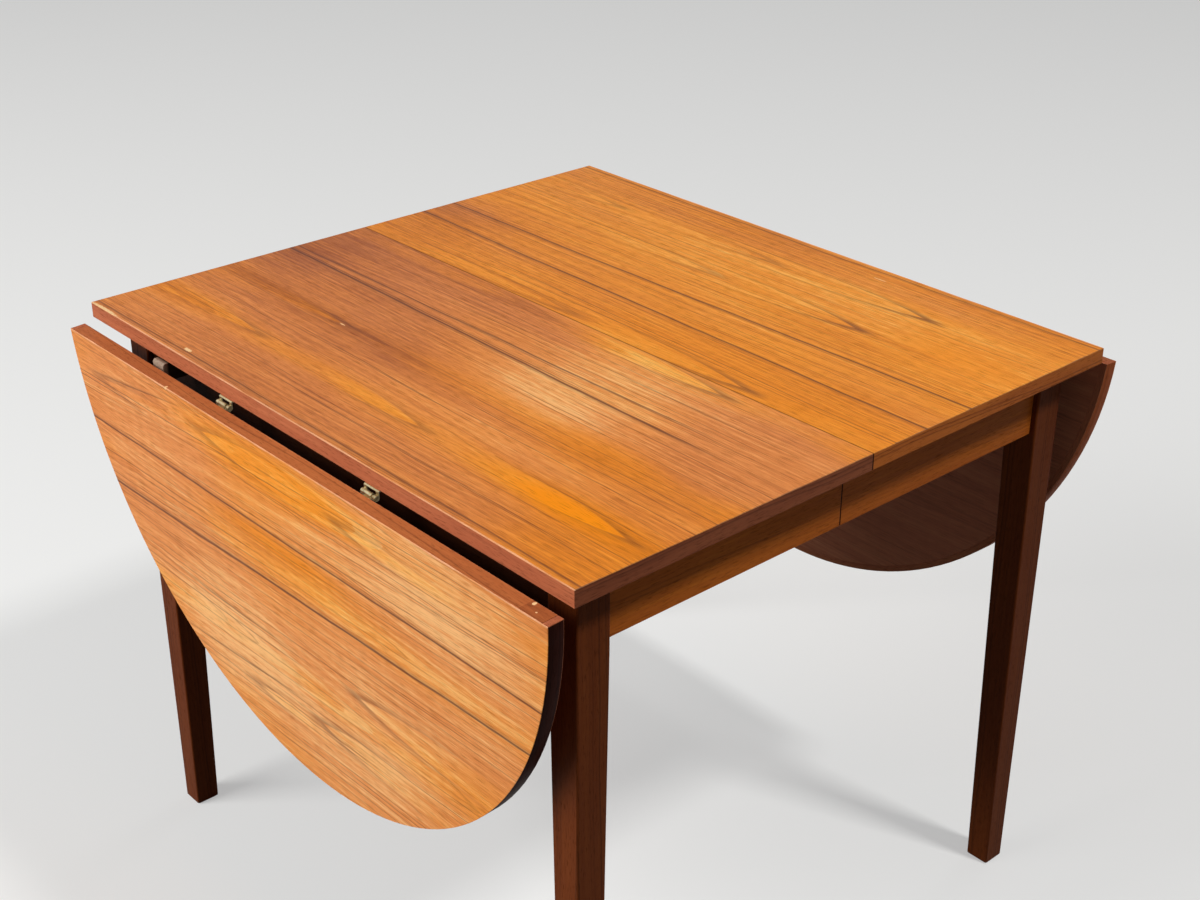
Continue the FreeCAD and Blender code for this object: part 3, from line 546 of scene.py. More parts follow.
@dataclass(frozen=True)
class Patch:
    """A soft area that is paler (gain), rosier (blush) or more orange (amber) than its surroundings; some
    pale ones are painted sheen.
    """

    at: Pair
    reach: Pair
    gain: float = 0.0
    blush: float = 0.0
    amber: float = 0.0


@dataclass(frozen=True)
class Nick:
    """A small worn place where pale wood shows: its middle and half sizes across and along the grain."""

    at: Pair
    reach: Pair


@dataclass(frozen=True)
class Figure:
    """The marks in one board's veneer, its blush, and how strong its lines are and how they drift; some
    pale patches are painted sheen.
    """

    blush: float
    contrast: float
    hair_drift: float
    crowns: tuple[Crown, ...]
    streaks: tuple[Streak, ...]
    arches: tuple[Arch, ...]
    patches: tuple[Patch, ...]
    nicks: tuple[Nick, ...]


def nick_share(web: NodeWeb, place: Socket, rough: Socket, nicks: Sequence[Nick]) -> Feed:
    """Where small pieces have broken out of a face, from 0 to 1.

    Args:
        web: the material that asks.
        place: the point in the face.
        rough: a noise that makes the nicks ragged.
        nicks: the nicks.

    Returns:
        The share of bare wood.
    """
    bare: Feed = 0.0
    for nick in nicks:
        ragged = web.total(web.spread(place, nick.at, nick.reach), web.swing(rough, NICK_RAGGEDNESS))
        bare = web.math("MAXIMUM", bare, web.smooth(ragged, *NICK_EDGE))
    return bare


def read_rings(web: NodeWeb, number: Socket, seed: float, late: Pair) -> tuple[Socket, Socket, Socket]:
    """Read what a growth ring gives a point.

    Args:
        web: the material that asks.
        number: the running number of the ring.
        seed: tells the board's rings from those of others.
        late: where in a ring the dark late wood starts and where it is darkest.

    Returns:
        Two random numbers of the ring, and how dark the late wood is, all from 0 to 1.
    """
    tone, mark = web.dice(web.math("FLOOR", web.math("ADD", number, seed)))
    part = web.math("FRACT", number)
    dark = web.math("SUBTRACT", web.smooth(part, *late), web.smooth(part, late[1], 1.0))
    return tone, mark, dark


def wood_relief(web: NodeWeb, fibre: Socket, pore: Socket) -> Socket:
    """The normal of open wood, with raised fibres and sunk pores."""
    height = web.total(web.product(fibre, FIBRE_RISE), web.product(pore, -PORE_SINK))
    return web.bump(height, RELIEF_DEPTH, RELIEF_STRENGTH)


@dataclass(frozen=True)
class Veneer:
    """Sliced teak veneer on the upper face of a board, with a plainer backing on its other side.

    A swing is how far a noise moves a value in all, a share how strong a mark is, an edge or a fade the
    two ends of a soft step, and a range the slope and the level of a straight line.
    """

    name: str
    axes: Axes
    figure: Figure
    worn_edges: tuple[float, ...]
    side_edges: tuple[float, ...] = ()
    seams: tuple[float, ...] = ()
    seed: float = 0.0
    wander_seed: float = 3.0
    blush_seed: float = 7.0
    tone_level: float = 0.5
    ring: float = 0.0034
    ring_bend: float = 0.014
    ring_ripple: float = 0.0018
    ring_swing: float = 0.24
    late_wood: Pair = (0.62, 0.94)
    marked_edge: Pair = (0.30, 0.95)
    line_fade: Pair = (0.36, 0.66)
    line_share: float = 0.8
    crown_edge: Pair = (0.003, 0.030)
    crown_range: Pair = (0.6, 0.4)
    crown_glow: Pair = (0.035, 0.0)
    crown_blush: float = -0.35
    fibre_swing: float = 0.82
    thread_swing: float = 0.72
    cloud_swing: float = 0.40
    blush_swing: float = 1.1
    pore_edge: Pair = (0.52, 0.74)
    pore_share: float = 0.42
    slow_wander: float = 0.007
    quick_wander: float = 0.0022
    hair_pitch: float = 0.0085
    hair_edge: Pair = (0.0009, 0.0003)
    hair_side_range: Pair = (0.7, 0.15)
    hair_share_range: Pair = (0.52, 0.20)
    hair_length: float = 0.30
    hair_swing: float = 0.8
    hair_fade: Pair = (0.10, 0.02)
    fine_width: float = 0.0012
    least_width: float = 0.6
    streak_edge: Pair = (0.75, 0.25)
    streak_fade: Pair = (0.08, 0.05)
    halo_edges: tuple[Pair, Pair] = ((-2.6, -0.3), (0.9, 0.3))
    halo_share: float = 0.40
    arch_start: Pair = (-0.005, 0.003)
    arch_end: float = 0.2
    arch_width_range: Pair = (0.0020, 0.0012)
    arch_edge: Pair = (1.0, 0.3)
    arch_share_range: Pair = (0.6, 0.35)
    arch_fray_range: Pair = (1.3, 0.25)
    arch_inside: Pair = (0.0, -0.006)
    inside_gain: float = 0.07
    inside_blush: float = -0.35
    smear: float = 0.009
    smear_edge: Pair = (-0.002, 0.0005)
    smear_start: Pair = (-0.035, 0.0)
    wear_range: Pair = (0.0022, -0.0009)
    rubbed_edge: Pair = (0.0005, -0.0003)
    rubbed_blotch: Pair = (0.35, 0.6)
    rubbed_range: Pair = (0.45, 0.25)
    brushed_width: float = 0.6
    brushed_edge: Pair = (0.0004, -0.0003)
    brushed_blotch: Pair = (0.42, 0.62)
    brushed_range: Pair = (0.35, 0.30)
    dirt_share: float = 0.5
    backing_depth: float = 0.002
    backing_edge: float = 0.0005
    backing_level: float = 0.45
    backing_swings: Triple = (0.9, 0.5, 0.3)
    backing_lines: float = 0.35
    roughness: float = 0.44
    haze_swing: float = 0.16
    open_roughness: float = 0.2
    shine: float = 0.09

    def rings(self, spot: Spot) -> tuple[Socket, Socket]:
        """Number the growth rings that the slice cuts: whole numbers are their dark edges.

        Args:
            spot: the point.

        Returns:
            The running number of the ring, and the distance to the middle of the nearest crown.
        """
        web = spot.web
        nearest: Feed = 1.0
        middle: Feed = 1.0
        for crown in self.figure.crowns:
            aside = web.math("SUBTRACT", spot.across, crown.at)
            square = web.linear(aside, aside, crown.roundness ** 2)
            radius = web.linear(spot.along, -crown.opening, web.math("SQRT", square))
            nearest = web.math("MINIMUM", nearest, web.math("ADD", radius, crown.shift))
            middle = web.math("MINIMUM", middle, web.math("ABSOLUTE", aside))
        broad = web.swing(web.noise(spot.place, Noise.RING_BEND, self.seed), self.ring_bend)
        fine = web.swing(web.noise(spot.place, Noise.RING_RIPPLE, self.seed), self.ring_ripple)
        return web.math("DIVIDE", web.total(nearest, broad, fine), self.ring), middle

    def wander(self, spot: Spot) -> tuple[Socket, Socket]:
        """Let the fibres wander.

        Args:
            spot: the point.

        Returns:
            The place across the grain with the wander added, and a noise that frays lines.
        """
        web, seed = spot.web, self.seed + self.wander_seed
        slow = web.swing(web.noise(spot.place, Noise.SLOW_WANDER, seed), self.slow_wander)
        quick = web.swing(web.noise(spot.place, Noise.QUICK_WANDER, seed), self.quick_wander)
        fray = web.noise(spot.place, Noise.FRAY, seed)
        return web.total(spot.across, slow, quick), fray

    def hair_share(self, spot: Spot, wandered: Socket) -> Socket:
        """How dark thin lines make a point; each strip across the grain holds one, of its own length.

        Args:
            spot: the point.
            wandered: its place across the grain, with the wander of the fibres.

        Returns:
            The darkness, from 0 to 1.
        """
        web = spot.web
        drifted = web.linear(spot.along, -self.figure.hair_drift, wandered)
        number = web.linear(drifted, 1.0 / self.hair_pitch, self.seed)
        strip = web.math("FLOOR", number)
        side, strength = web.dice(strip)
        centre, length = web.dice(web.math("ADD", strip, SECOND_ROLL))
        aside = web.apart(web.math("FRACT", number), web.linear(side, *self.hair_side_range))
        line = web.smooth(web.product(aside, self.hair_pitch), *self.hair_edge)
        distance = web.apart(spot.along, web.swing(centre, self.hair_swing))
        lasting = web.smooth(web.linear(length, -self.hair_length, distance), *self.hair_fade)
        return web.product(line, lasting, web.linear(strength, *self.hair_share_range))

    def streak_share(self, spot: Spot, wandered: Socket, fray: Socket) -> Feed:
        """How dark the named streaks make a point.

        Args:
            spot: the point.
            wandered: its place across the grain, with the wander of the fibres.
            fray: a noise that frays the streaks.

        Returns:
            The darkness, from 0 to 1.
        """
        web = spot.web
        darkest: Feed = 0.0
        for streak in self.figure.streaks:
            middle = web.linear(spot.along, streak.drift, streak.at)
            reach = web.linear(fray, streak.width, streak.width * self.least_width)
            ratio = web.math("DIVIDE", web.math("SUBTRACT", wandered, middle), reach)
            depth = web.smooth(web.math("ABSOLUTE", ratio), *self.streak_edge)
            if streak.width > self.fine_width:
                sides = (web.smooth(ratio, *edge) for edge in self.halo_edges)
                depth = web.math("MAXIMUM", depth, web.product(*sides, self.halo_share))
            for end, way in ((streak.start, 1.0), (streak.stop, -1.0)):
                if end is not None:
                    outer, inner = (way * step for step in self.streak_fade)
                    depth = web.product(depth, web.smooth(spot.along, end - outer, end + inner))
            darkest = web.math("MAXIMUM", darkest, web.product(depth, streak.strength))
        return darkest

    def arch_shares(self, spot: Spot, wandered: Socket, fray: Socket) -> tuple[Feed, Feed]:
        """How dark the outlines of the named arches make a point, and how deep it lies inside one.

        Args:
            spot: the point.
            wandered: its place across the grain, with the wander of the fibres.
            fray: a noise that frays the outlines.

        Returns:
            The darkness of the outline and the share of the inside, from 0 to 1.
        """
        web = spot.web
        darkest: Feed = 0.0
        inside: Feed = 0.0
        for arch in self.figure.arches:
            gone = web.linear(spot.along, arch.way, -arch.way * arch.tip[1])
            closing = web.math("EXPONENT", web.math("MINIMUM", web.product(gone, -1.0 / arch.bend), 0.0))
            half = web.linear(closing, -arch.half, arch.half)
            beside = web.apart(wandered, web.linear(gone, arch.drift, arch.tip[0]))
            apart = web.math("SUBTRACT", beside, half)
            begun = web.smooth(gone, *self.arch_start)
            lasting = web.smooth(gone, arch.length, arch.length * self.arch_end)
            width = web.linear(closing, *self.arch_width_range)
            ratio = web.math("DIVIDE", web.math("ABSOLUTE", apart), width)
            share = web.linear(closing, *self.arch_share_range)
            outline = web.product(web.smooth(ratio, *self.arch_edge), share, begun)
            smear = web.product(
                web.smooth(apart, self.smear, 0.0),
                web.smooth(apart, *self.smear_edge),
                web.smooth(gone, *self.smear_start),
                closing,
            )
            depth = web.product(web.math("MAXIMUM", outline, smear), lasting, arch.strength)
            darkest = web.math("MAXIMUM", darkest, depth)
            within = web.product(web.smooth(apart, *self.arch_inside), begun, lasting)
            inside = web.math("MAXIMUM", inside, within)
        return web.product(darkest, web.linear(fray, *self.arch_fray_range)), inside

    def patch_gains(self, spot: Spot) -> list[Feed]:
        """How much paler, rosier and more orange the named patches make a point; part of the paleness is
        painted sheen.

        Args:
            spot: the point.

        Returns:
            The gains in paleness, in blush and in amber.
        """
        web = spot.web
        gains: list[Feed] = [0.0, 0.0, 0.0]
        for patch in self.figure.patches:
            square = web.spread(spot.place, patch.at, patch.reach)
            share = web.math("DIVIDE", 1.0, web.linear(square, square, 1.0))
            for index, level in enumerate((patch.gain, patch.blush, patch.amber)):
                if level:
                    gains[index] = web.linear(share, level, gains[index])
        return gains

    def wear(self, spot: Spot) -> tuple[Socket, Socket, Feed]:
        """Where the arris is rubbed pale and where small pieces have broken out.

        Args:
            spot: the point.

        Returns:
            The shares of pale rubbed, of grey brushed and of bare wood, from 0 to 1.
        """
        web = spot.web
        rough = web.noise(spot.place, Noise.VENEER_CHIPS, self.seed)
        blotch = web.noise(spot.place, Noise.VENEER_WEAR, self.seed)
        gaps: list[Feed] = []
        for value, edges in ((spot.across, self.worn_edges), (spot.along, self.side_edges)):
            gap: Feed = 1.0
            for edge in edges:
                gap = web.math("MINIMUM", gap, web.apart(value, edge))
            gaps.append(gap)
        width = web.linear(web.total(rough, blotch), *self.wear_range)
        rubbed = web.smooth(web.math("SUBTRACT", gaps[0], width), *self.rubbed_edge)
        uneven = web.smooth(blotch, *self.rubbed_blotch)
        rubbed = web.product(rubbed, web.linear(uneven, *self.rubbed_range))
        brushed = web.smooth(web.linear(width, -self.brushed_width, gaps[1]), *self.brushed_edge)
        uneven = web.smooth(blotch, *self.brushed_blotch)
        brushed = web.product(brushed, web.linear(uneven, *self.brushed_range))
        return rubbed, brushed, nick_share(web, spot.place, rough, self.figure.nicks)

    def material(self) -> bpy.types.Material:
        """Write the veneer's material.

        Returns:
            The material.
        """
        web = NodeWeb(self.name)
        spot = self.axes.measure(web)
        place, contrast = spot.place, self.figure.contrast
        number, middle = self.rings(spot)
        ring_tone, ring_mark, late = read_rings(web, number, self.seed, self.late_wood)
        fade = web.smooth(web.noise(place, Noise.LINE_FADE), *self.line_fade)
        steep = web.linear(web.smooth(middle, *self.crown_edge), *self.crown_range)
        line = web.product(late, web.smooth(ring_mark, *self.marked_edge), fade, steep)
        fibre = web.noise(place, Noise.VENEER_FIBRE)
        thread = web.noise(place, Noise.VENEER_THREAD)
        cloud = web.noise(place, Noise.VENEER_CLOUD)
        pore = web.smooth(web.noise(place, Noise.VENEER_PORE), *self.pore_edge)

        gain, blush, amber = self.patch_gains(spot)
        wandered, fray = self.wander(spot)
        hair = web.product(self.hair_share(spot, wandered), contrast)
        arch, inside = self.arch_shares(spot, wandered, fray)
        tone = web.total(
            self.tone_level,
            web.swing(ring_tone, self.ring_swing),
            web.swing(fibre, self.fibre_swing),
            web.swing(thread, self.thread_swing),
            web.swing(cloud, self.cloud_swing),
            web.product(inside, self.inside_gain),
            gain,
        )
        rosy = web.total(
            self.figure.blush,
            web.swing(web.noise(place, Noise.VENEER_BLUSH, self.seed + self.blush_seed), self.blush_swing),
            web.product(web.smooth(middle, *self.crown_glow), self.crown_blush),
            web.product(inside, self.inside_blush),
            blush,
        )
        golden, rose = (web.ramp(tone, tones.row()) for tones in (GOLDEN_TEAK, ROSY_TEAK))
        rubbed, brushed, bare = self.wear(spot)
        colour = web.mix(web.smooth(rosy, 0.0, 1.0), golden, rose)
        for share, shade in (
            (amber, AMBER_TEAK),
            (web.product(line, self.line_share * contrast), GOLDEN_TEAK.line),
            (hair, ROSY_TEAK.line),
            (arch, ROSY_TEAK.line),
            (self.streak_share(spot, wandered, fray), ROSY_TEAK.line),
            (web.product(pore, self.pore_share), GOLDEN_TEAK.line),
            (brushed, GREY_WEAR),
            (rubbed, PALE_WEAR),
            (bare, CHIPPED_WOOD),
        ):
            colour = web.mix(share, colour, shade)
        for seam in self.seams:
            dirt = web.smooth(web.apart(spot.across, seam), *SEAM_DIRT)
            # The seam's dirt borrows the darkest line colour of the near rim's painted shade tones.
            colour = web.mix(web.product(dirt, self.dirt_share), colour, NEAR_RIM_PAINTED_SHADE_TEAK.line)

        swings = zip((fibre, cloud, ring_tone), self.backing_swings)
        plain = web.total(self.backing_level, *(web.swing(value, reach) for value, reach in swings))
        lines = web.product(web.total(line, hair, pore), self.backing_lines)
        backing = web.mix(lines, web.ramp(plain, BACKING_TEAK.row()), BACKING_TEAK.line)
        face = web.smooth(spot.out, -self.backing_depth - self.backing_edge, -self.backing_depth)
        return web.surface(
            Base_Color=web.mix(face, backing, colour),
            Roughness=web.total(
                self.roughness,
                web.swing(web.noise(place, Noise.VENEER_HAZE), self.haze_swing),
                web.product(pore, self.open_roughness),
                web.product(bare, self.open_roughness),
            ),
            Specular_IOR_Level=self.shine,
            Normal=wood_relief(web, fibre, pore),
        )


@dataclass(frozen=True)
class SolidWood:
    """Solid straight-grained wood for lippings, legs, aprons and hidden rails.

    Its numbers are named as those of the veneer. The slant is how much the rings count the distances
    across the grain, out of the face and along the grain.
    """

    name: str
    axes: Axes
    tones: Tones
    ring: float = 0.0032
    contrast: float = 0.5
    roughness: float = 0.45
    shine: float = 0.04
    seed: float = 0.0
    rim_centre: float = 0.0
    rim_radius: Optional[float] = None
    joints: tuple[float, ...] = ()
    nicks: tuple[Nick, ...] = ()
    pale_ends: Optional[tuple[float, Tones]] = None
    end_tones: Optional[Tones] = None
    backing_depth: Optional[float] = None
    at_seam: bool = False
    slant: Triple = (0.82, 0.57, 0.012)
    drift_swing: float = 0.02
    late_wood: Pair = (0.3, 0.92)
    marked_edge: Pair = (0.35, 1.0)
    tone_level: float = 0.47
    ring_swing: float = 0.3
    fibre_swing: float = 0.70
    cloud_swing: float = 0.6
    strip_swing: float = 0.35
    pale_end_edge: float = 0.004
    end_edge: Pair = (0.0012, 0.0004)
    backing_edge: Pair = (0.0007, 0.0002)
    pore_edge: Pair = (0.55, 0.70)
    pore_share: float = 0.40
    dirt_share: float = 0.9
    haze_swing: float = 0.14
    open_roughness: float = 0.2

    def measure(self, web: NodeWeb) -> Spot:
        """Distances across, along and out; a bent lipping is unrolled round its rim.

        Args:
            web: the material that asks.

        Returns:
            The point.
        """
        spot = self.axes.measure(web)
        if self.rim_radius is None:
            return spot
        outward = web.math("SUBTRACT", spot.across, self.rim_centre)
        square = web.linear(outward, outward, web.product(spot.along, spot.along))
        turned = web.product(web.math("ARCTAN2", spot.along, outward), self.rim_radius)
        unrolled = (web.math("SQRT", square), turned, spot.out)
        return Spot(web, *unrolled, web.stack(*unrolled))

    def material(self) -> bpy.types.Material:
        """Write the wood's material.

        Returns:
            The material.
        """
        web = NodeWeb(self.name)
        spot = self.measure(web)
        across, along, out, place = spot.across, spot.along, spot.out, spot.place
        strip: Feed = self.seed
        for joint in self.joints:
            strip = web.math("ADD", strip, web.math("GREATER_THAN", along, joint))
        strip_tone, _ = web.dice(strip)
        drift = web.swing(web.noise(place, Noise.WOOD_DRIFT), self.drift_swing)
        slanted = (web.product(value, share) for value, share in zip((across, out, along), self.slant))
        number = web.math("DIVIDE", web.total(*slanted, drift), self.ring)
        ring_tone, ring_mark, late = read_rings(web, number, self.seed, self.late_wood)
        line = web.product(late, web.smooth(ring_mark, *self.marked_edge))
        fibre = web.noise(place, Noise.WOOD_FIBRE)
        cloud = web.noise(place, Noise.WOOD_CLOUD)
        pore = web.smooth(web.noise(place, Noise.WOOD_PORE), *self.pore_edge)

        tone = web.total(
            self.tone_level,
            web.swing(ring_tone, self.ring_swing * self.contrast),
            web.swing(fibre, self.fibre_swing),
            web.swing(cloud, self.cloud_swing),
            web.swing(strip_tone, self.strip_swing if self.joints else 0.0),
        )
        colour = web.ramp(tone, self.tones.row())
        colour = web.mix(web.product(line, self.contrast), colour, self.tones.line)
        # For the lopers the pale ends are the part left out of the painted shade.
        if self.pale_ends:
            start, tones = self.pale_ends
            ends = web.smooth(web.math("ABSOLUTE", along), start, start + self.pale_end_edge)
            colour = web.mix(ends, colour, web.ramp(tone, tones.row()))
        if self.end_tones:
            end = web.smooth(self.axes.measure(web).across, *self.end_edge)
            colour = web.mix(end, colour, web.ramp(tone, self.end_tones.row()))
        if self.backing_depth:
            behind = web.smooth(out, *(edge - self.backing_depth for edge in self.backing_edge))
            colour = web.mix(behind, colour, web.ramp(tone, BACKING_TEAK.row()))
        colour = web.mix(web.product(pore, self.pore_share), colour, self.tones.line)
        if self.at_seam:
            dirt = web.smooth(web.math("ABSOLUTE", along), *SEAM_DIRT)
            # The seam's dirt borrows the darkest line colour of the near rim's painted shade tones.
            colour = web.mix(web.product(dirt, self.dirt_share), colour, NEAR_RIM_PAINTED_SHADE_TEAK.line)
        if self.nicks:
            rough = web.noise(place, Noise.WOOD_CHIPS)
            bare = nick_share(web, web.stack(out, along), rough, self.nicks)
            colour = web.mix(bare, colour, CHIPPED_WOOD)
        return web.surface(
            Base_Color=colour,
            Roughness=web.total(
                self.roughness,
                web.swing(web.noise(place, Noise.WOOD_HAZE), self.haze_swing),
                web.product(pore, self.open_roughness),
            ),
            Specular_IOR_Level=self.shine,
            Normal=wood_relief(web, fibre, pore),
        )


@dataclass(frozen=True)
class Metal:
    """Worn metal with dull, darker blotches and fine rubbing marks."""

    name: str
    bright: Colour
    dull: Colour
    roughness: float
    dull_edge: Pair = (0.42, 0.68)
    blotch_swing: float = 0.25
    rubbing_swing: float = 0.12
    relief_depth: float = 0.00005
    relief_strength: float = 0.35

    def material(self) -> bpy.types.Material:
        """Write the metal's material.

        Returns:
            The material.
        """
        web = NodeWeb(self.name)
        place = Grain.ALONG_Y.value.measure(web).place
        blotch = web.noise(place, Noise.METAL_BLOTCH)
        rubbed = web.noise(place, Noise.METAL_RUBBING)
        return web.surface(
            Base_Color=web.mix(web.smooth(blotch, *self.dull_edge), self.bright, self.dull),
            Metallic=1.0,
            Roughness=web.total(
                self.roughness,
                web.swing(blotch, self.blotch_swing),
                web.swing(rubbed, self.rubbing_swing),
            ),
            Normal=web.bump(web.total(rubbed, blotch), self.relief_depth, self.relief_strength),
        )


HINGE_BRASS = Metal("hinge_brass", srgb(232, 217, 174), srgb(194, 174, 128), roughness=0.42)
HINGE_SCREW_STEEL = Metal("hinge_screw_steel", srgb(190, 178, 150), srgb(128, 114, 90), roughness=0.4)
SCREW_STEEL = Metal("screw_steel", srgb(176, 172, 164), srgb(120, 112, 104), roughness=0.42)


# What shows in the veneer and the hinge lipping of each board

NEAR_TOP_FIGURE = Figure(
    blush=0.61,
    contrast=0.75,
    hair_drift=0.006,
    crowns=(
        Crown(at=-0.305, roundness=0.026, opening=0.030),
        Crown(at=-0.208, roundness=0.016, opening=0.018, shift=0.004),
        Crown(at=-0.018, roundness=0.016, opening=0.024, shift=0.001),
    ),
    streaks=(
        Streak(at=-0.122, drift=0.012, width=0.0030, strength=0.82, start=-0.30),
        Streak(at=-0.118, drift=0.012, width=0.0013, strength=0.60, start=-0.10),
        Streak(at=-0.101, drift=-0.009, width=0.0020, strength=0.70, start=-0.27),
        Streak(at=-0.389, drift=0.002, width=0.0022, strength=0.66),
        Streak(at=-0.350, drift=0.004, width=0.0010, strength=0.62, start=-0.36, stop=0.12),
        Streak(at=-0.256, drift=0.020, width=0.0011, strength=0.60, start=-0.10, stop=0.22),
        Streak(at=-0.064, drift=0.000, width=0.0010, strength=0.58, start=-0.36, stop=0.20),
    ),
    arches=(
        Arch(tip=(-0.017, -0.250), half=0.018, bend=0.075, length=0.34, strength=0.55),
        Arch(tip=(-0.303, -0.412), half=0.019, bend=0.075, length=0.30, strength=0.55),
        Arch(tip=(-0.304, -0.098), half=0.017, bend=0.070, length=0.32, strength=0.42),
        Arch(tip=(-0.298, 0.226), half=0.014, bend=0.060, length=0.24, strength=0.40),
        Arch(tip=(-0.210, 0.176), half=0.013, bend=0.060, length=0.26, strength=0.34),
    ),
    patches=(
        # The first two patches are painted sheen: a soft pale, slightly rosy glow over the middle of this
        # half.
        Patch(at=(-0.118, -0.135), reach=(0.092, 0.116), gain=0.34, blush=0.1),
        Patch(at=(-0.165, -0.130), reach=(0.036, 0.100), gain=0.10),
        Patch(at=(-0.214, -0.060), reach=(0.024, 0.420), gain=-0.24),
        Patch(at=(-0.100, 0.330), reach=(0.140, 0.170), gain=-0.22, blush=0.4),
        Patch(at=(-0.060, 0.430), reach=(0.110, 0.090), gain=-0.22),
        Patch(at=(-0.034, 0.060), reach=(0.034, 0.130), gain=-0.16, blush=0.3),
        Patch(at=(-0.230, 0.110), reach=(0.100, 0.100), gain=-0.16, blush=0.2),
        Patch(at=(-0.365, 0.100), reach=(0.040, 0.420), gain=-0.08, blush=0.3),
        Patch(at=(-0.306, -0.322), reach=(0.015, 0.075), blush=-0.6, amber=1.0),
        Patch(at=(-0.345, -0.385), reach=(0.075, 0.090), gain=-0.18, blush=-0.4, amber=0.15),
        Patch(at=(-0.202, -0.290), reach=(0.032, 0.080), gain=-0.06, blush=-0.3, amber=0.2),
        Patch(at=(-0.110, -0.360), reach=(0.130, 0.080), gain=-0.02, blush=0.5),
    ),
    nicks=(
        Nick(at=(-0.397, 0.412), reach=(0.0035, 0.034)),
        Nick(at=(-0.384, 0.240), reach=(0.0030, 0.008)),
        Nick(at=(-0.211, 0.186), reach=(0.0012, 0.005)),
    ),
)
FAR_TOP_FIGURE = Figure(
    blush=0.26,
    contrast=0.75,
    hair_drift=0.004,
    crowns=(
        Crown(at=0.014, roundness=0.016, opening=0.024, shift=0.001),
        Crown(at=0.229, roundness=0.012, opening=0.020),
        Crown(at=0.312, roundness=0.013, opening=0.022, shift=0.0012),
    ),
    streaks=(
        Streak(at=0.090, drift=0.015, width=0.0026, strength=0.78),
        Streak(at=0.152, drift=-0.012, width=0.0026, strength=0.80),
        Streak(at=0.389, drift=0.000, width=0.0024, strength=0.62),
        Streak(at=0.046, drift=0.026, width=0.0011, strength=0.58, stop=0.22),
    ),
    arches=(
        Arch(tip=(0.229, -0.222), half=0.021, bend=0.070, length=0.52, strength=0.80),
        Arch(tip=(0.229, 0.010), half=0.014, bend=0.080, length=0.36, strength=0.40),
        Arch(tip=(0.312, -0.258), half=0.022, bend=0.085, length=0.56, strength=0.78),
        Arch(tip=(0.314, -0.008), half=0.016, bend=0.080, length=0.34, strength=0.42),
        Arch(tip=(0.310, 0.278), half=0.012, bend=0.060, length=0.26, strength=0.40),
        Arch(tip=(0.013, -0.255), half=0.022, bend=0.110, length=0.62, strength=0.66, drift=0.010),
        Arch(tip=(0.013, 0.034), half=0.012, bend=0.080, length=0.30, strength=0.40),
    ),
    patches=(
        Patch(at=(0.070, 0.400), reach=(0.100, 0.110), gain=-0.24),
        Patch(at=(0.036, -0.220), reach=(0.044, 0.250), gain=-0.15, blush=-0.3, amber=0.22),
        Patch(at=(0.190, -0.120), reach=(0.036, 0.300), gain=-0.04, blush=-0.3),
        Patch(at=(0.270, -0.040), reach=(0.060, 0.260), gain=0.16, blush=-0.2),
        Patch(at=(0.250, -0.360), reach=(0.040, 0.060), blush=-0.3, amber=0.3),
        Patch(at=(0.358, 0.090), reach=(0.034, 0.300), gain=-0.15, blush=0.0),
    ),
    nicks=(Nick(at=(0.369, -0.135), reach=(0.0009, 0.012)),),
)
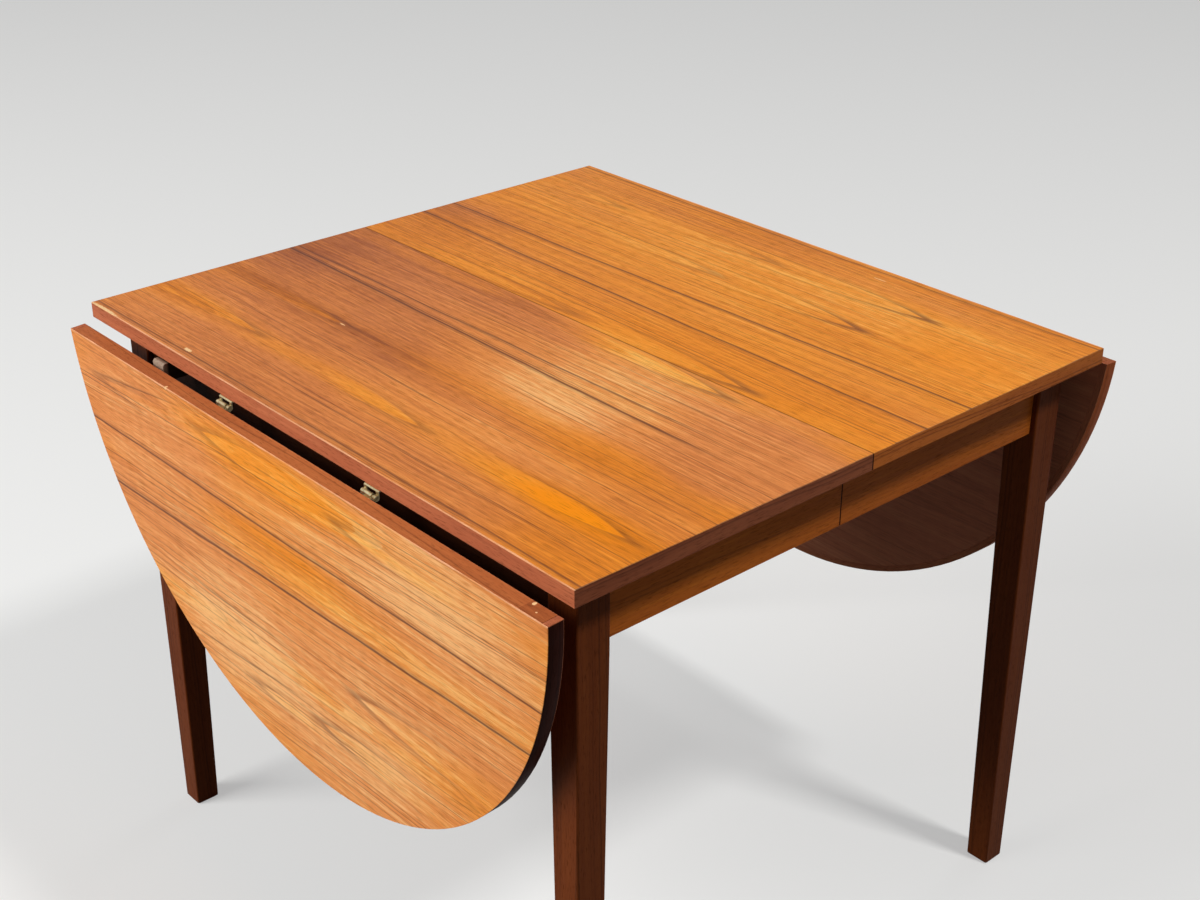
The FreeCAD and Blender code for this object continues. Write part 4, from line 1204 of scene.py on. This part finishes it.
NEAR_LEAF_FIGURE = Figure(
    blush=0.60,
    contrast=0.95,
    hair_drift=0.026,
    crowns=(
        Crown(at=0.030, roundness=0.020, opening=0.060),
        Crown(at=0.150, roundness=0.012, opening=0.026, shift=0.002),
        Crown(at=0.285, roundness=0.024, opening=0.050, shift=0.001),
    ),
    streaks=(
        Streak(at=0.107, drift=0.010, width=0.0022, strength=0.82),
        Streak(at=0.175, drift=0.036, width=0.0028, strength=0.80),
        Streak(at=0.255, drift=0.008, width=0.0020, strength=0.62, start=0.06, stop=0.21),
        Streak(at=0.315, drift=0.078, width=0.0018, strength=0.62, start=0.05, stop=0.23),
        Streak(at=0.060, drift=-0.004, width=0.0010, strength=0.48, stop=0.20),
        Streak(at=-0.012, drift=0.140, width=0.0018, strength=0.60, start=0.23, stop=0.36),
    ),
    arches=(
        Arch(tip=(0.030, 0.155), half=0.024, bend=0.100, length=0.46, strength=0.45, way=-1.0),
        Arch(
            tip=(0.036, -0.110), half=0.014, bend=0.070, length=0.30, strength=0.50, way=-1.0, drift=0.06
        ),
        Arch(tip=(0.252, -0.108), half=0.024, bend=0.090, length=0.36, strength=0.62, way=-1.0),
        Arch(tip=(0.330, -0.024), half=0.022, bend=0.080, length=0.34, strength=0.58, way=-1.0),
        Arch(tip=(0.046, 0.384), half=0.018, bend=0.090, length=0.26, strength=0.45, way=-1.0),
        Arch(tip=(0.345, 0.110), half=0.018, bend=0.080, length=0.26, strength=0.40, way=-1.0),
    ),
    patches=(
        Patch(at=(0.033, 0.000), reach=(0.026, 0.120), gain=0.06, blush=-0.4, amber=0.42),
        Patch(at=(0.122, 0.010), reach=(0.010, 0.120), blush=-0.3, amber=0.35),
        # The next three pale patches, low on the leaf, are painted sheen.
        Patch(at=(0.290, 0.140), reach=(0.080, 0.130), gain=0.40, blush=0.3),
        Patch(at=(0.330, -0.060), reach=(0.090, 0.160), gain=0.22, blush=0.3),
        Patch(at=(0.240, -0.170), reach=(0.080, 0.110), gain=0.18, blush=0.2),
        Patch(at=(0.036, -0.270), reach=(0.044, 0.140), gain=0.30, blush=0.5),
        Patch(at=(0.084, -0.120), reach=(0.024, 0.360), gain=0.20),
        Patch(at=(0.034, 0.290), reach=(0.040, 0.130), gain=0.06, blush=0.5),
        Patch(at=(0.130, 0.050), reach=(0.020, 0.080), gain=-0.10),
        Patch(at=(0.140, -0.330), reach=(0.080, 0.110), gain=0.18, blush=0.3),
        Patch(at=(0.170, 0.300), reach=(0.110, 0.140), gain=0.08, blush=0.6),
    ),
    nicks=(Nick(at=(0.001, 0.218), reach=(0.0016, 0.0022)),),
)
FAR_LEAF_FIGURE = Figure(
    blush=0.55,
    contrast=0.95,
    hair_drift=-0.016,
    crowns=(
        Crown(at=0.055, roundness=0.018, opening=0.040),
        Crown(at=0.200, roundness=0.014, opening=0.028, shift=0.002),
        Crown(at=0.330, roundness=0.022, opening=0.045, shift=0.001),
    ),
    streaks=(
        Streak(at=0.125, drift=-0.010, width=0.0024, strength=0.80),
        Streak(at=0.262, drift=-0.030, width=0.0024, strength=0.74),
        Streak(at=0.345, drift=-0.050, width=0.0016, strength=0.55, start=-0.20, stop=0.26),
    ),
    arches=(
        Arch(tip=(0.052, -0.170), half=0.022, bend=0.090, length=0.42, strength=0.50),
        Arch(tip=(0.200, 0.060), half=0.020, bend=0.080, length=0.36, strength=0.58),
        Arch(tip=(0.335, -0.080), half=0.022, bend=0.085, length=0.34, strength=0.52),
    ),
    patches=(
        Patch(at=(0.240, -0.120), reach=(0.090, 0.180), gain=0.20),
        Patch(at=(0.080, 0.160), reach=(0.070, 0.200), gain=-0.08),
    ),
    nicks=(Nick(at=(0.001, 0.130), reach=(0.0015, 0.0040)),),
)
NEAR_LIPPING_NICKS = (
    Nick(at=(-0.0015, 0.218), reach=(0.0026, 0.0018)),
    Nick(at=(-0.0160, -0.405), reach=(0.0030, 0.0022)),
    Nick(at=(-0.0080, -0.417), reach=(0.0010, 0.0012)),
)
FAR_LIPPING_NICKS = (Nick(at=(-0.014, -0.310), reach=(0.0016, 0.0030)),)


# Dressing solids


SAME_PLACE = 0.000001
EASE_STEPS = 2
SHARP_ANGLE = math.radians(40.0)


class Ease(Enum):
    """How far an edge is rounded, in metres."""

    NONE = 0.0
    METAL = 0.00025
    FINE = 0.0003
    BOARD = 0.0008
    RAIL = 0.001


def dress(node: str, finish: bpy.types.Material, ease: Ease = Ease.NONE) -> None:
    """Give a solid its finish and ease its edges.

    Args:
        node: the solid's name.
        finish: its material.
        ease: how far its edges are rounded.
    """
    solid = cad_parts[node]
    if solid.material_slots:
        solid.material_slots[0].material = finish
    else:
        solid.data.materials.append(finish)
    if ease is not Ease.NONE:
        solid.modifiers.new("joined_corners", "WELD").merge_threshold = SAME_PLACE
        bevel = solid.modifiers.new("eased_edges", "BEVEL")
        bevel.width = ease.value
        bevel.segments = EASE_STEPS
        bevel.limit_method = "ANGLE"
        bevel.angle_limit = SHARP_ANGLE
        bevel.use_clamp_overlap = False
        bevel.harden_normals = True
    LOG.info("dressed %s with %s", node, finish.name)


# Sub-assemblies


@dataclass
class TableTop:
    """The two halves of the top with their lippings and the pegs between them."""

    half_length: float
    half_width: float
    height: float
    lipping_ring: float = 0.0026

    def dress(self) -> None:
        """Give the panels, lippings and pegs their finishes."""
        cross_strip = SolidWood(
            "end_edge_teak", Grain.ALONG_Y.value, END_EDGE_TEAK, ring=self.lipping_ring, seed=4.0
        ).material()
        peg_wood = SolidWood(
            "peg_beech", Grain.ALONG_X.value, BEECH, contrast=0.15, roughness=0.6
        ).material()
        figures = (NEAR_TOP_FIGURE, FAR_TOP_FIGURE)
        for half, figure, tones in zip(HALVES, figures, (SIDE_EDGE_TEAK, FAR_SIDE_EDGE_TEAK)):
            veneer = Veneer(
                name=f"{half}_top_veneer",
                axes=Axes(origin=(0.0, 0.0, self.height)),
                figure=figure,
                worn_edges=(-self.half_length, self.half_length),
                side_edges=(-self.half_width, self.half_width),
                seams=(0.0,),
            ).material()
            side_strip = SolidWood(
                f"{half}_side_edge_teak",
                Grain.ALONG_X.value,
                tones,
                ring=self.lipping_ring,
                seed=9.0,
                at_seam=True,
            ).material()
            dress(f"{half}_top_panel", veneer, Ease.FINE)
            dress(f"{half}_end_lipping", cross_strip, Ease.FINE)
            dress(f"{half}_joint_lipping", cross_strip, Ease.FINE)
            for side in SIDES:
                dress(f"{half}_{side}_lipping", side_strip, Ease.FINE)
            dress(f"{half}_seam_pegs", peg_wood)


@dataclass
class Underframe:
    """Legs, aprons, corner braces and cleats."""

    leg_ring: float = 0.0036
    apron_ring: float = 0.0030

    def dress(self) -> None:
        """Give the frame's pieces their finishes."""
        leg = SolidWood(
            "leg_teak", Grain.ALONG_Z.value, LEG_TEAK, ring=self.leg_ring, shine=0.025
        ).material()
        side_apron = SolidWood(
            "side_apron_teak",
            Grain.ALONG_X.value,
            APRON_TEAK,
            ring=self.apron_ring,
            contrast=0.28,
            seed=2.0,
            at_seam=True,
        ).material()
        # The end aprons take a painted shade tone.
        end_apron = SolidWood(
            "end_apron_painted_shade_teak", Grain.ALONG_Y.value, END_APRON_PAINTED_SHADE_TEAK, ring=self.apron_ring, seed=6.0
        ).material()
        block = SolidWood(
            "block_beech", Grain.ALONG_X.value, BEECH, contrast=0.2, roughness=0.6, seed=3.0
        ).material()
        for half in HALVES:
            dress(f"{half}_end_apron", end_apron, Ease.RAIL)
            for side in SIDES:
                dress(f"{half}_{side}_leg", leg, Ease.FINE)
                dress(f"{half}_{side}_apron", side_apron, Ease.RAIL)
            dress(f"{half}_corner_braces", block, Ease.BOARD)
            dress(f"{half}_top_cleats", block, Ease.BOARD)


@dataclass
class Slides:
    """The extension runners, the lopers with their keepers, and the screws that hold them."""

    loper_end: float = 0.398

    def dress(self) -> None:
        """Give the runners, lopers, keepers and screws their finishes."""
        rail = SolidWood(
            "runner_beech", Grain.ALONG_X.value, BEECH, contrast=0.25, roughness=0.55, seed=5.0
        ).material()
        # The lopers are painted dark as shade under the top; past the top's edge they keep their rubbed
        # beech tone.
        loper = SolidWood(
            "loper_beech",
            Grain.ALONG_X.value,
            LOPER_PAINTED_SHADE_BEECH,
            contrast=0.25,
            roughness=0.6,
            seed=8.0,
            pale_ends=(self.loper_end, RUBBED_BEECH),
        ).material()
        steel = SCREW_STEEL.material()
        for half in HALVES:
            for node in ("tongue_runner", "groove_runner", "loper_keepers"):
                dress(f"{half}_{node}", rail, Ease.FINE)
            for side in SIDES:
                dress(f"{half}_{side}_loper", loper, Ease.FINE)
            dress(f"{half}_frame_screws", steel)


@dataclass
class DropLeaf:
    """One half-round leaf with its lippings and its hinges."""

    half: str
    rim_radius: float
    figure: Figure
    rim_tones: Tones
    lipping_nicks: tuple[Nick, ...]
    seed: float
    lean: float = math.radians(3.0)
    reach: float = 0.423
    lipping_ring: float = 0.0024
    strip_joints: tuple[float, ...] = (0.222, -0.40)
    axes: Axes = field(init=False)
    thickness: float = field(init=False)

    def __post_init__(self) -> None:
        """Work the leaf's directions and its face out from its solid."""
        way = -1.0 if self.half == "near" else 1.0
        down = Vector((-way * math.sin(self.lean), 0.0, -math.cos(self.lean)))
        out = Vector((way * math.cos(self.lean), 0.0, -math.sin(self.lean)))
        points = [vertex.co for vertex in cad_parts[f"{self.half}_leaf_panel"].data.vertices]
        face = max(point.dot(out) for point in points)
        edge = min(point.dot(down) for point in points)
        self.thickness = face - min(point.dot(out) for point in points)
        self.axes = Axes(tuple(down * edge + out * face), tuple(down), (0.0, -way, 0.0), tuple(out))

    def dress(self, brass: bpy.types.Material, steel: bpy.types.Material) -> None:
        """Give the leaf and its hinges their finishes.

        Args:
            brass: the hinges' finish.
            steel: the screws' finish.
        """
        veneer = Veneer(
            f"{self.half}_leaf_veneer", self.axes, self.figure, worn_edges=(0.0,), seed=self.seed
        ).material()
        hinge_edge = SolidWood(
            f"{self.half}_leaf_hinge_edge_teak",
            self.axes,
            HINGE_EDGE_TEAK,
            ring=self.lipping_ring,
            seed=self.seed + 1.0,
            joints=self.strip_joints,
            nicks=self.lipping_nicks,
            backing_depth=self.thickness,
        ).material()
        # The rim's tones are painted shade on the near leaf and lit teak on the far leaf.
        rim = SolidWood(
            f"{self.half}_leaf_rim_teak",
            self.axes,
            self.rim_tones,
            ring=self.lipping_ring,
            seed=self.seed + 2.0,
            shine=0.01,
            rim_centre=self.reach - self.rim_radius,
            rim_radius=self.rim_radius,
            end_tones=END_EDGE_TEAK,
            backing_depth=self.thickness,
        ).material()
        dress(f"{self.half}_leaf_panel", veneer, Ease.FINE)
        dress(f"{self.half}_leaf_hinge_lipping", hinge_edge, Ease.FINE)
        dress(f"{self.half}_leaf_rim_lipping", rim, Ease.FINE)
        for side in SIDES:
            dress(f"{self.half}_{side}_hinge_top_plate", brass, Ease.METAL)
            dress(f"{self.half}_leaf_{side}_hinge_plate", brass, Ease.METAL)
        dress(f"{self.half}_hinge_pins", brass, Ease.METAL)
        dress(f"{self.half}_hinge_top_screws", steel)
        dress(f"{self.half}_leaf_hinge_screws", steel)


# Floor, light and camera


@dataclass(frozen=True)
class Lamp:
    """A lamp that faces the table: a soft square where it has a size, else a sun.

    Its power is in watts, or in watts on a square metre for a sun. A mirrored one shows in glossy faces.
    """

    name: str
    place: Triple
    power: float
    size: Optional[float] = None
    mirrored: bool = False


@dataclass
class Studio:
    """A pale floor, soft lamps and the camera at the photograph's angle."""

    floor_half: float = 14.0
    floor_seen: Colour = srgb(180, 180, 178)
    floor_unseen: Colour = srgb(112, 112, 110)
    floor_glow: float = 0.40
    camera_place: Triple = (-1.2788, -1.4614, 1.5516)
    azimuth: float = -41.76
    elevation: float = 26.92
    roll: float = 0.16
    lens: float = 54.06
    sensor: float = 36.0
    fill: float = 0.12
    backdrop: float = 0.8
    target: Triple = (0.0, 0.0, 0.6)
    sun_spread: float = math.radians(25.0)
    lamps: tuple[Lamp, ...] = (
        Lamp("left_lamp", (-5.67, 2.33, 3.2), power=490.0, size=4.0),
        Lamp("front_lamp", (1.12, -3.55, 5.81), power=229.0, size=0.8, mirrored=True),
        Lamp("far_sun", (6.0, 1.2, 1.0), power=1.0),
    )

    @staticmethod
    def seen(tree: bpy.types.NodeTree) -> Socket:
        """Tell rays that show the background from rays that only carry light to the table.

        Args:
            tree: the node tree that asks.

        Returns:
            1 for a ray that shows the background, else 0.
        """
        path = tree.nodes.new("ShaderNodeLightPath")
        share = path.outputs["Is Camera Ray"]
        for name in ("Is Glossy Ray", "Is Transmission Ray"):
            either = tree.nodes.new("ShaderNodeMath")
            either.operation = "MAXIMUM"
            tree.links.new(share, either.inputs[0])
            tree.links.new(path.outputs[name], either.inputs[1])
            share = either.outputs[0]
        return share

    def build_floor(self) -> None:
        """Lay a plain floor that shows pale and keeps the table's shadow."""
        mesh = bpy.data.meshes.new("floor")
        grid = bmesh.new()
        bmesh.ops.create_grid(grid, x_segments=1, y_segments=1, size=self.floor_half)
        grid.to_mesh(mesh)
        grid.free()
        floor = bpy.data.objects.new("floor", mesh)
        bpy.context.scene.collection.objects.link(floor)
        web = NodeWeb("pale_floor")
        seen = self.seen(web.tree)
        mesh.materials.append(web.surface(
            Base_Color=web.mix(seen, self.floor_unseen, self.floor_seen),
            Roughness=0.9,
            Specular_IOR_Level=0.0,
            Emission_Color=(1.0, 1.0, 1.0, 1.0),
            Emission_Strength=web.product(seen, self.floor_glow),
        ))
        LOG.info("laid the floor")

    def hang(self, plan: Lamp) -> None:
        """Hang a lamp so that it faces the table.

        Args:
            plan: the lamp.
        """
        lamp = bpy.data.lights.new(plan.name, "AREA" if plan.size else "SUN")
        if plan.size:
            lamp.shape = "SQUARE"
            lamp.size = plan.size
        else:
            lamp.angle = self.sun_spread
        lamp.energy = plan.power
        holder = bpy.data.objects.new(plan.name, lamp)
        holder.visible_glossy = plan.mirrored
        holder.location = plan.place
        facing = Vector(self.target) - Vector(plan.place)
        holder.rotation_euler = facing.to_track_quat("-Z", "Y").to_euler()
        bpy.context.scene.collection.objects.link(holder)
        LOG.info("hung %s", plan.name)

    def light(self) -> None:
        """Hang the lamps and set the light from all round."""
        for plan in self.lamps:
            self.hang(plan)
        world = bpy.data.worlds.new("studio_world")
        world.use_nodes = True
        tree = world.node_tree
        tree.nodes.clear()
        strength = tree.nodes.new("ShaderNodeMapRange")
        tree.links.new(self.seen(tree), strength.inputs["Value"])
        strength.inputs["To Min"].default_value = self.fill
        strength.inputs["To Max"].default_value = self.backdrop
        background = tree.nodes.new("ShaderNodeBackground")
        background.inputs["Color"].default_value = (1.0, 1.0, 1.0, 1.0)
        tree.links.new(strength.outputs[0], background.inputs["Strength"])
        out = tree.nodes.new("ShaderNodeOutputWorld")
        tree.links.new(background.outputs[0], out.inputs["Surface"])
        bpy.context.scene.world = world
        bpy.context.scene.view_settings.view_transform = "Standard"

    def set_camera(self) -> None:
        """Set the camera where the photograph was taken from."""
        turn, rise = math.radians(self.azimuth), math.radians(self.elevation)
        level = math.cos(rise)
        back = Vector((math.sin(turn) * level, -math.cos(turn) * level, math.sin(rise)))
        aside = Vector((math.cos(turn), math.sin(turn), 0.0))
        facing = Matrix((aside, back.cross(aside), back)).transposed()
        tilt = Matrix.Rotation(math.radians(self.roll), 3, "Z")
        lens = bpy.data.cameras.new("camera")
        lens.sensor_width = self.sensor
        lens.lens = self.lens
        camera = bpy.data.objects.new("camera", lens)
        camera.matrix_world = Matrix.Translation(self.camera_place) @ (facing @ tilt).to_4x4()
        bpy.context.scene.collection.objects.link(camera)
        bpy.context.scene.camera = camera
        LOG.info("set the camera")


def main() -> None:
    """Dress the table piece by piece and set the studio round it."""
    logging.basicConfig(level=logging.INFO, format="%(message)s")
    highest = CAD_BOX[1]
    end_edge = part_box("far_top_panel")[1].x
    TableTop(half_length=end_edge, half_width=highest.y, height=highest.z).dress()
    Underframe().dress()
    Slides().dress()
    brass, steel = HINGE_BRASS.material(), HINGE_SCREW_STEEL.material()
    for leaf in (
        # The near leaf's rim takes painted shade tones; the far leaf's rim takes its lit tones.
        DropLeaf("near", highest.y, NEAR_LEAF_FIGURE, NEAR_RIM_PAINTED_SHADE_TEAK, NEAR_LIPPING_NICKS, seed=11.0),
        DropLeaf("far", highest.y, FAR_LEAF_FIGURE, FAR_RIM_TEAK, FAR_LIPPING_NICKS, seed=23.0),
    ):
        leaf.dress(brass, steel)
    studio = Studio()
    studio.build_floor()
    studio.light()
    studio.set_camera()


if __name__ == "__main__":
    main()
